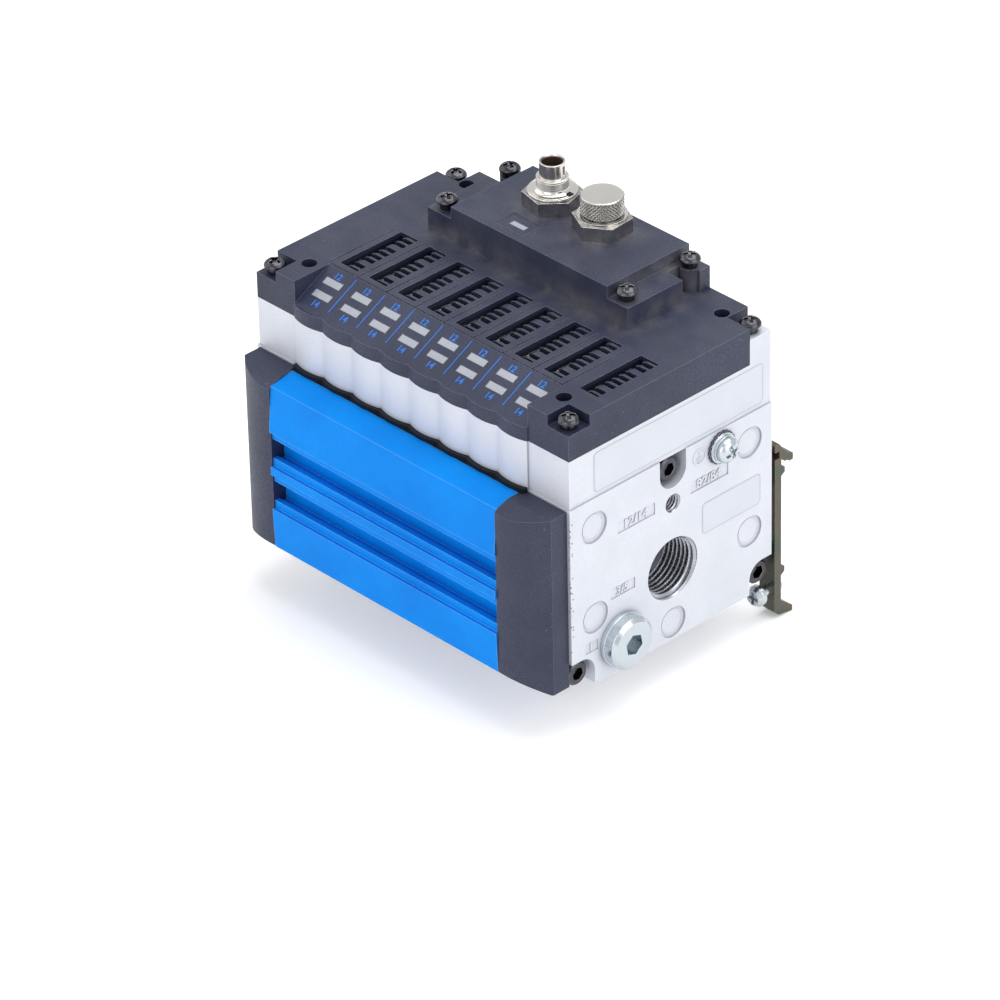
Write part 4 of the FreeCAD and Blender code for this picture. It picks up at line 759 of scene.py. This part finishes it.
@dataclass
class EndPlateMarks(SubAssembly):
    """Cast figures in their recesses, rings of the core marks and the earth mark."""

    rise: float = 0.22
    recess: float = 0.25
    mark_depth: float = 0.5
    weight: float = 0.04
    earth_y: float = 43.0
    earth_bars: Pairs = ((47.3, 2.2), (46.75, 1.5), (46.2, 0.8))
    earth_line: float = 0.25
    core_marks: Pairs = ((7.9, 18.6), (7.9, 43.9), (60.0, 18.6), (60.0, 43.9), (33.85, 4.9))
    # Name, figures, y, z and height
    words: tuple[tuple[str, str, float, float, float], ...] = (
        ("figures_pilot", "12/14", 21.6, 40.0, 2.6),
        ("figures_pilot_exhaust", "82/84", 46.2, 40.0, 2.6),
        ("figures_exhaust", "3/5", 17.0, 22.4, 2.4),
        ("figure_supply", "1", 6.4, 10.8, 2.4))

    def matrix(self, y: float, z: float) -> Matrix:
        """A place in a recess of the outer face, reading back along Y with Z up."""
        turn = Matrix(((0, 0, 1), (1, 0, 0), (0, 1, 0))).to_4x4()
        return Matrix.Translation(self.datum.point(self.right - self.recess, y, z)) @ turn

    def bar(self, z: float, length: float, height: float) -> Shape:
        """A raised bar of the earth mark: a box whose back is sunk in the face.

        Args:
            z: how high its middle is.
            length: its length along Y.
            height: its height.

        Returns:
            The bar's shape.
        """
        return box_shape(
            (self.right - 0.1, self.earth_y - length / 2, z - height / 2),
            (self.right + self.rise / 2, self.earth_y + length / 2, z + height / 2))

    def ring(self, place: tuple[float, float], radius: float, width: float, rise: float,
             sink: float = 0.0) -> Shape:
        """A thin raised ring: a low trapezium turned about the face's direction.

        Args:
            place: its middle, as y and z.
            radius: the radius of its middle line.
            width: its width at the foot.
            rise: how far it stands up.
            sink: how deep its ground lies under the face.

        Returns:
            The ring's shape.
        """
        basis = Basis((self.right - sink, *place), *FACING_RIGHT)
        half = width / 2
        profile = np.array([[radius + half, -0.1], [radius + half * 0.7, rise],
                            [radius - half * 0.7, rise], [radius - half, -0.1]])
        return lathe(profile, 56, basis)

    def build(self) -> None:
        """Makes the figures, the rings and the earth mark."""
        for name, words, y, z, height in self.words:
            self.figures(name, words, (height, self.rise, self.weight), self.matrix(y, z),
                         CAST, "cast_aluminium")
        parts = [self.bar(z, length, self.earth_line) for z, length in self.earth_bars]
        parts.append(self.bar(48.2, length=self.earth_line, height=1.6))
        parts.append(self.ring((self.earth_y, 47.6), radius=2.0, width=0.45, rise=0.16))
        parts += [self.ring(mark, radius=3.3, width=0.3, rise=0.1, sink=self.mark_depth)
                  for mark in self.core_marks]
        self.piece("earth_mark_and_rings", join_parts(parts), CAST, "cast_aluminium")


@dataclass
class BareLabels(SubAssembly):
    """The two labels of the right end plate, bare, with a fine line of painted shade inside
    their edge.
    """

    thickness: float = 0.07
    line: float = 0.22
    line_rise: float = 0.012
    root: float = 0.02
    radius: float = 1.2
    upper_sink: float = 0.4
    # Middle, as y and z, then length and height
    upper: Pairs = ((36.7, 58.5), (56.5, 11.0))
    lower: Pairs = ((53.8, 29.4), (19.8, 8.6))

    def sheet(self, name: str, x: float, middle: tuple[float, float],
              size: tuple[float, float]) -> None:
        """One label: a thin rounded sheet and a fine line of painted shade inside its edge.

        Args:
            name: the label's name.
            x: where its back lies.
            middle: its middle, as y and z.
            size: its length and height.
        """
        basis = Basis((x, *middle), *FACING_RIGHT)
        u, v = rounded_outline(*size, self.radius)
        count = len(u)
        walls = grid_faces(2, count, False, True).tolist()
        rows = np.concatenate([basis.place(u, v, np.full(count, -self.root)),
                               basis.place(u, v, np.full(count, self.thickness))])
        self.piece(name, (rows, [*walls, list(range(count, 2 * count))]), LABEL)
        # The darker line paints the shade at the sheet's edge.
        inner = 2 * self.line
        u2, v2 = rounded_outline(size[0] - inner, size[1] - inner, self.radius - self.line)
        high = np.full(count, self.thickness + self.line_rise)
        rows = np.concatenate([basis.place(u, v, high), basis.place(u2, v2, high)])
        self.piece(name + "_line", (rows, walls), LABEL_EDGE_SHADE)

    def build(self) -> None:
        """Sticks both labels on."""
        self.sheet("label_upper", self.right - self.upper_sink, *self.upper)
        self.sheet("label_lower", self.right, *self.lower)


@dataclass
class Fasteners(SubAssembly):
    """Screws with domed heads and cross recesses, and the toothed earth washer."""

    corner_x: float = 50.4
    corner_seats: Pairs = ((3.6, 72.1), (64.0, 71.9))
    housing_x: tuple[float, float] = (-31.6, 29.9)
    housing_seats: Pairs = ((43.3, 81.1), (64.4, 81.1))
    earth_place: tuple[float, float] = (50.3, 47.1)
    earth_turn: float = 0.35
    washer_radius: float = 4.0
    washer_teeth: int = 18

    @staticmethod
    def dome(radius: float, low: float, high: float) -> Array:
        """Profile of a head: height = low + rise times a root of 1 - (r / radius) squared.

        Args:
            radius: the head's radius.
            low: where the dome starts.
            high: its top.

        Returns:
            Rows of radius and height, which end on the axis.
        """
        out = np.linspace(1.0, 0.0, 22) ** 0.8
        rise = (1.0 - out ** 2.6) ** 0.62
        return np.stack([radius * out, low + (high - low) * rise], axis=1)

    @staticmethod
    def cross(span: float, width: float, depth: float, floor: float) -> Relief:
        """Lift of a cross recess: minus the depth inside either bar, above the floor.

        Args:
            span: length of each bar.
            width: width of each bar.
            depth: depth on the axis.
            floor: the height above which the head is cut.

        Returns:
            The lift.
        """
        def lift(angle: Array, height: Array, radius: Array) -> Array:
            """Lift of each point of the grid.

            Args:
                angle: its angle round the axis.
                height: its height.
                radius: its distance from the axis.

            Returns:
                The lift.
            """
            u, v = np.abs(radius * np.cos(angle)), np.abs(radius * np.sin(angle))
            bar = np.minimum(np.maximum(u, v) / (span / 2), 1.0)
            inside = (np.minimum(u, v) < width / 2) & (bar < 1.0) & (height > floor)
            return np.where(inside, -depth * (1.0 - 0.6 * bar ** 3), 0.0)
        return lift

    def pan(self, basis: Basis) -> Shape:
        """A pan-head screw with a plain shank and a neck.

        Args:
            basis: where its seat is.

        Returns:
            The screw's shape.
        """
        profile = np.concatenate([[[0.0, -7.0], [1.45, -7.0], [1.45, 0.0], [1.9, 0.02],
                                   [1.9, 1.6], [2.5, 1.6], [2.72, 1.8]],
                                  self.dome(2.75, 2.0, 3.5)])
        recess = self.cross(span=3.3, width=0.85, depth=1.1, floor=2.5)
        return lathe(profile, 72, basis, lift=recess)

    def cover_screws(self) -> None:
        """The eight screws of cover and housing, each turned a little differently."""
        places = [(sign * self.corner_x, y, z, 0.5 + sign * 0.4)
                  for sign in (-1.0, 1.0) for y, z in self.corner_seats]
        places += [(x, y, z, 0.2 + x * 0.02)
                   for x in self.housing_x for y, z in self.housing_seats]
        heads = [self.pan(Basis((x, y, z), (math.cos(turn), math.sin(turn), 0.0),
                                (-math.sin(turn), math.cos(turn), 0.0)))
                 for x, y, z, turn in places]
        screws = self.piece("domed_cover_screws", join_parts(heads), OXIDE, "black_steel",
                            40.0)
        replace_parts(screws, "cover_screws")

    def build(self) -> None:
        """Makes the cover's screws, the earth screw and its toothed washer."""
        self.cover_screws()
        c, d = math.cos(self.earth_turn), math.sin(self.earth_turn)
        face = Basis((self.right, *self.earth_place), (0.0, c, d), (0.0, -d, c))
        profile = np.concatenate([[[0.0, -7.0], [1.95, -7.0], [1.95, 1.8], [3.1, 1.8],
                                   [3.28, 1.95]], self.dome(3.3, 2.3, 4.2)])
        recess = self.cross(span=3.9, width=1.0, depth=1.4, floor=2.9)
        screw = lathe(profile, 80, face, lift=recess)
        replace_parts(self.piece("domed_earth_screw", screw, ZINC, "zinc_steel", 40.0),
                    "earth_screw")

        def teeth(angle: Array, height: Array, radius: Array) -> Array:
            """Relief = the teeth's length wherever a wave round the rim is above nothing."""
            crest = np.cos(self.washer_teeth * angle) > 0.0
            return np.where(radius > self.washer_radius, 0.3 * crest, 0.0)

        ring = np.array([[3.9, 0.03], [4.1, 0.03], [4.1, 0.5], [3.9, 0.5]])
        self.piece("toothed_washer", lathe(ring, 144, face, relief=teeth), OXIDE,
                   "zinc_steel")


@dataclass
class PortThreads(SubAssembly):
    """Screw threads inside the two ports of the right end plate."""

    start: float = 0.12
    play: float = 0.02

    def helix(self, place: tuple[float, float], radius: float, pitch: float,
              depth: float, cut: float, around: int) -> Shape:
        """A threaded wall.

        The point at turn angle a and profile step p lies at depth pitch * (a / full turn
        + p) in the bore, never above the mouth. Its radius is the wall radius less the
        crest height times a triangle wave of p, with lower crests close to the mouth.

        Args:
            place: the bore's axis, as y and z.
            radius: the wall's radius.
            pitch: the thread's pitch.
            depth: how deep it goes.
            cut: the crests' height.
            around: points in a turn.

        Returns:
            The thread's shape.
        """
        turns = depth / pitch
        steps = int(around * turns)
        angle = np.linspace(-FULL_TURN, FULL_TURN * (turns - 1.0), steps)[:, None]
        phase = np.array([0.0, 0.12, 0.44, 0.56, 0.88, 1.0])[None, :]
        crest = np.array([0.0, 0.0, 1.0, 1.0, 0.0, 0.0])[None, :]
        down = np.maximum(pitch * (angle / FULL_TURN + phase), 0.0)
        inward = radius - self.play - cut * crest * np.clip(down / (0.8 * pitch), 0.0, 1.0)
        points = np.stack([self.right - self.start - down,
                           place[0] + inward * np.cos(angle),
                           place[1] + inward * np.sin(angle)], axis=-1)
        faces = grid_faces(steps, phase.shape[1], False, False)[:, ::-1]
        return points.reshape(-1, 3), faces

    def build(self) -> None:
        """Threads the exhaust port and the pilot port."""
        parts = [self.helix((33.85, 20.3), radius=8.33, pitch=1.337, depth=11.8, cut=0.82,
                            around=64),
                 self.helix((34.1, 38.6), radius=2.5, pitch=0.8, depth=8.6, cut=0.42,
                            around=40)]
        self.piece("port_threads", join_parts(parts), THREAD, "cast_aluminium", 25.0)


@dataclass
class LabelPanel(SubAssembly):
    """Printed figures and dividing lines on the cover's sloping panel."""

    pitch: float = 10.0
    low_z: float = 68.9
    top_z: float = 75.1
    top_y: float = 12.1
    size: Triple = (1.75, 0.015, 0.05)
    line_low: float = 1.9
    line_high: float = 11.5
    line_width: float = 0.26
    # Figures, how far right of the slice's middle, and how far back
    words: tuple[tuple[str, float, float], ...] = (("12", -0.08, 10.15), ("14", 0.03, 2.3))

    def height(self, y: float) -> float:
        """Height of the slope = its low edge plus the rise times y over its run."""
        return self.low_z + (self.top_z - self.low_z) * y / self.top_y

    def matrix(self, x: float, y: float) -> Matrix:
        """A place just above the slope, reading along X with up the slope as up."""
        turn = Matrix.Rotation(math.atan2(self.top_z - self.low_z, self.top_y), 4, "X")
        return Matrix.Translation(self.datum.point(x, y, self.height(y) + 0.02)) @ turn

    def line(self, x: float) -> Shape:
        """A dividing line: four corners a little above the slope, and one face.

        Args:
            x: where its middle is.

        Returns:
            The line's shape.
        """
        half, low, high = self.line_width / 2, self.line_low, self.line_high
        corners = [(x + side, y, self.height(y) + 0.03)
                   for side, y in ((-half, low), (half, low), (half, high), (-half, high))]
        return np.array(corners), [[0, 1, 2, 3]]

    def build(self) -> None:
        """Prints the figures and the lines."""
        first = -self.pitch * (SLICE_COUNT - 1) / 2
        for k in range(SLICE_COUNT):
            for words, shift, y in self.words:
                place = self.matrix(first + self.pitch * k + shift, y)
                self.figures(f"print_{words}_{k + 1}", words, self.size, place, PRINT)
        self.piece("print_lines", join_parts(self.line(first + self.pitch * (k - 0.5))
                                             for k in range(1, SLICE_COUNT)), PRINT)


@dataclass
class RoundSockets(SubAssembly):
    """The open socket, the knurled cap of the other one and the contact pins."""

    left_x: float = -10.3
    right_x: float = 6.7
    y: float = 58.2
    seat: float = 88.2
    pin_count: int = 5
    pin_circle: float = 1.55

    def basis(self, x: float) -> Basis:
        """An upright axis at a socket."""
        return Basis((x, self.y, 0.0), *UPRIGHT)

    def neck(self) -> None:
        """Open socket: flange, flared threaded neck and thin sleeve with a key slot.

        Relief = minus the cut times a triangle wave of height over pitch plus angle, on
        the neck, and minus the slot's depth in a narrow range of angles of the sleeve.
        """
        cut, pitch, thread_low, thread_high = 0.2, 0.45, 89.75, 91.75
        slot_angle, slot_half, slot_depth = math.radians(15.0), 0.15, 0.4
        axis = self.basis(self.left_x)

        def relief(angle: Array, height: Array, radius: Array) -> Array:
            """Relief of each point of the grid.

            Args:
                angle: its angle round the axis.
                height: its height.
                radius: its distance from the axis.

            Returns:
                The relief.
            """
            inside = (radius > 3.95) & (radius < 4.05)
            inside &= (height > thread_low + 0.05) & (height < thread_high - 0.05)
            wave = (height / pitch + angle / FULL_TURN) % 1.0
            thread = np.where(inside, -cut * np.abs(2.0 * wave - 1.0), 0.0)
            slot = (radius > 3.0) & (radius < 3.3) & (height > 92.9) & (height < 95.5)
            slot &= np.abs(angle - slot_angle) < slot_half
            return thread - slot_depth * slot

        levels = np.linspace(thread_low, thread_high, 64)
        thread = np.stack([np.full_like(levels, 4.0), levels], axis=1)
        profile = np.concatenate([
            [[3.6, thread_low], [3.9, thread_low]], thread,
            [[3.9, thread_high], [3.6, thread_high], [3.6, thread_low]]])
        self.piece("neck_thread", lathe(profile, 96, axis, relief), KNURL, "nickel", 30.0)
        levels = np.linspace(92.7, 96.25, 12)
        sleeve = np.stack([np.full_like(levels, 3.2), levels], axis=1)
        top = self.seat + 0.6
        profile = np.concatenate([
            [[4.3, 82.2], [4.3, self.seat], [6.0, self.seat], [6.2, self.seat + 0.12],
             [6.2, top - 0.12], [6.08, top], [5.75, top], [5.7, top - 0.08],
             [5.6, top - 0.08], [5.55, top], [5.0, top + 0.02], [4.6, top + 0.14],
             [4.25, top + 0.42], [4.06, top + 0.8], [4.03, thread_low], [3.7, thread_low],
             [3.7, thread_high], [4.0, thread_high], [4.02, 91.8], [3.8, 91.9],
             [3.8, 92.05], [4.0, 92.12], [4.0, 92.34], [3.9, 92.43], [3.5, 92.45],
             [3.12, 92.35], [3.1, 92.6]], sleeve,
            [[3.26, 96.3], [3.24, 96.46], [3.1, 96.5], [2.85, 96.5], [2.75, 96.35],
             [2.75, 90.0], [2.75, 82.2]]])
        neck = self.piece("socket_neck", lathe(profile, 96, axis, relief), NICKEL, "nickel",
                          40.0)
        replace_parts(neck, "socket_shell_left")
        # A brown sheet just inside the sleeve paints the shade in the socket and the brass
        # pins' reflection.
        shade_sheet = np.array([[2.745, 90.02], [2.745, 96.1], [2.62, 96.0], [2.62, 90.02],
                           [2.745, 90.02]])
        self.piece("socket_inner_shade", lathe(shade_sheet, 64, axis), SOCKET_SHADE, "nickel", 40.0)
        self.notch_shade(top)

    def notch_shade(self, top: float) -> None:
        """A black block on the open socket's flange, which paints the shade of its notch.

        Args:
            top: the height of the flange's top.
        """
        turn, out = math.radians(8.0), 5.2
        x, y = self.left_x + out * math.cos(turn), self.y + out * math.sin(turn)
        # Painted shade: a black block where the flange's notch lies.
        self.piece("socket_notch_shade", box_shape((x - 0.75, y - 0.7, top - 0.3),
                                                 (x + 0.75, y + 0.7, top + 0.2)),
                   RUBBER, "nickel")

    def cap(self) -> None:
        """Knurled cap, closed on top.

        Relief on the side = minus the knurl depth where either of two triangle waves is
        low; they run round the cap up to the left and up to the right and leave diamonds.
        """
        low, high, radius = 89.2, 94.1, 5.4
        count, depth, pitch = 36, 0.42, 0.98
        axis = self.basis(self.right_x)

        def relief(angle: Array, height: Array, distance: Array) -> Array:
            """Relief of each point of the grid.

            Args:
                angle: its angle round the axis.
                height: its height.
                distance: its distance from the axis.

            Returns:
                The relief.
            """
            side = (distance > radius - 0.05) & (height > low + 0.5) & (height < high - 0.4)
            turn = angle * count / FULL_TURN
            climb = height / pitch
            first = np.abs(((turn + climb) % 1.0) * 2.0 - 1.0)
            second = np.abs(((turn - climb) % 1.0) * 2.0 - 1.0)
            groove = np.minimum(np.minimum(first, second) * 1.15, 1.0)
            return np.where(side, -depth * (1.0 - groove), 0.0)

        levels = np.linspace(low + 0.45, high - 0.38, 48)
        side = np.stack([np.full_like(levels, radius), levels], axis=1)
        profile = np.concatenate([
            [[4.36, high - 0.9], [4.36, low], [4.9, low], [5.0, low + 0.35]], side,
            [[5.25, high - 0.22], [4.4, high - 0.3]]])
        cap = self.piece("knurled_cap", lathe(profile, 432, axis, relief), KNURL, "nickel",
                         30.0, "cap")
        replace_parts(cap, "protective_cap")
        disc = np.array([[4.4, high - 0.3], [5.22, high - 0.21], [5.12, high - 0.06],
                         [4.95, high], [4.5, high], [4.3, high - 0.04],
                         [2.0, high - 0.04], [0.0, high - 0.04]])
        self.piece("cap_disc", lathe(disc, 96, axis), NICKEL, "nickel", 30.0, "cap")

    def pins(self) -> None:
        """Brass contact pins with rounded tips, evenly round the open socket's axis."""
        profile = np.array([[0.40, 89.95], [0.40, 93.1], [0.34, 93.35], [0.2, 93.52],
                            [0.0, 93.58]])
        parts = []
        for k in range(self.pin_count):
            angle = math.radians(360.0 / self.pin_count * k + 18.0)
            centre = (self.left_x + self.pin_circle * math.cos(angle),
                      self.y + self.pin_circle * math.sin(angle), 0.0)
            parts.append(lathe(profile, 12, Basis(centre, *UPRIGHT)))
        self.piece("contact_pins", join_parts(parts), BRASS, "nickel", 35.0)

    def build(self) -> None:
        """Makes all three."""
        self.neck()
        self.cap()
        self.pins()


@dataclass
class Studio:
    """Floor, light and camera."""

    datum: Datum
    target: Triple = (5.53, 23.54, 22.59)
    azimuth: float = 46.673
    elevation: float = 32.751
    roll: float = -1.306
    distance: float = 1642.25
    lens: float = 244.8
    floor_half: float = 3.0
    # Name, place in metres, side and power
    lamps: tuple[tuple[str, Triple, float, float], ...] = (
        ("top_box", (0.1, 0.3, 1.2), 1.2, 11.0),
        ("left_box", (-1.1, -0.7, 0.7), 1.5, 6.0),
        ("right_box", (1.2, 0.1, 0.6), 1.1, 6.5),
        ("front_box", (0.25, -1.35, 0.5), 1.1, 5.0))

    def floor(self) -> None:
        """A wide pale floor at the level of the brackets' feet."""
        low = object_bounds()[0][2]
        half = self.floor_half
        mesh = bpy.data.meshes.new("floor")
        mesh.from_pydata([(-half, -half, low), (half, -half, low), (half, half, low),
                          (-half, half, low)], [], [(0, 1, 2, 3)])
        material = bpy.data.materials.new("floor_paper")
        material.use_nodes = True
        w = Wiring(material.node_tree)
        shader = material.node_tree.nodes["Principled BSDF"]
        shader.inputs["Roughness"].default_value = 0.9
        shader.inputs["Specular IOR Level"].default_value = 0.1
        tone = w.ramp(w.noise(600.0), 0.3, 0.7)
        w.give(shader.inputs["Base Color"],
               w.mix(tone, (0.93, 0.93, 0.935), (0.955, 0.955, 0.96)))
        path = w.add("LightPath").outputs["Is Camera Ray"]
        w.give(shader.inputs["Emission Strength"], w.math("MULTIPLY", path, 0.2))
        shader.inputs["Emission Color"].default_value = (1.0, 1.0, 1.0, 1.0)
        mesh.materials.append(material)
        placed("floor", mesh)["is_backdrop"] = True

    def lamp(self, name: str, place: Triple, size: float, power: float) -> None:
        """A square soft light aimed at the island.

        Args:
            name: its name.
            place: where it hangs, in metres.
            size: its side.
            power: its power in watts.
        """
        light = bpy.data.lights.new(name, "AREA")
        light.size = size
        light.energy = power
        lamp = placed(name, light)
        lamp.location = Vector(place)
        lamp.rotation_euler = (-Vector(place)).to_track_quat("-Z", "Y").to_euler()

    def world(self) -> None:
        """An even pale surround."""
        world = bpy.data.worlds.new("surround")
        world.use_nodes = True
        back = world.node_tree.nodes["Background"]
        back.inputs["Color"].default_value = (1.0, 1.0, 1.0, 1.0)
        w = Wiring(world.node_tree)
        path = w.add("LightPath")
        seen = w.math("MAXIMUM", path.outputs["Is Camera Ray"], path.outputs["Is Glossy Ray"])
        w.give(back.inputs["Strength"], w.ramp(seen, 0.0, 1.0, 0.55, 0.8))
        bpy.context.scene.world = world

    def camera(self) -> None:
        """A long lens at the photograph's angle: location = target + distance along back."""
        a, e = math.radians(self.azimuth), math.radians(self.elevation)
        back = Vector((math.sin(a) * math.cos(e), -math.cos(a) * math.cos(e), math.sin(e)))
        right = Vector((math.cos(a), math.sin(a), 0.0))
        up = back.cross(right)
        turn = Matrix((right, up, back)).transposed().to_4x4()
        turn = turn @ Matrix.Rotation(math.radians(self.roll), 4, "Z")
        data = bpy.data.cameras.new("camera")
        data.lens = self.lens
        data.sensor_width = 36.0
        data.clip_end = 20.0
        camera = placed("camera", data)
        place = self.datum.point(*self.target) + back * self.distance * MM
        camera.matrix_world = Matrix.Translation(place) @ turn
        bpy.context.scene.camera = camera

    def build(self) -> None:
        """Sets the stage."""
        self.floor()
        self.world()
        for lamp in self.lamps:
            self.lamp(*lamp)
        self.camera()
        bpy.context.scene.view_settings.view_transform = "Standard"


def main() -> None:
    """Builds the looks."""
    logging.basicConfig(level=logging.INFO, format="%(name)s: %(message)s")
    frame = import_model()
    datum = Datum.from_frame()
    Studio(datum).build()
    FrameDress().build(frame["nodes"])
    for group in (EndPlateMarks, BareLabels, Fasteners, PortThreads, LabelPanel,
                  RoundSockets):
        group(datum).build()


if __name__ == "__main__":
    main()
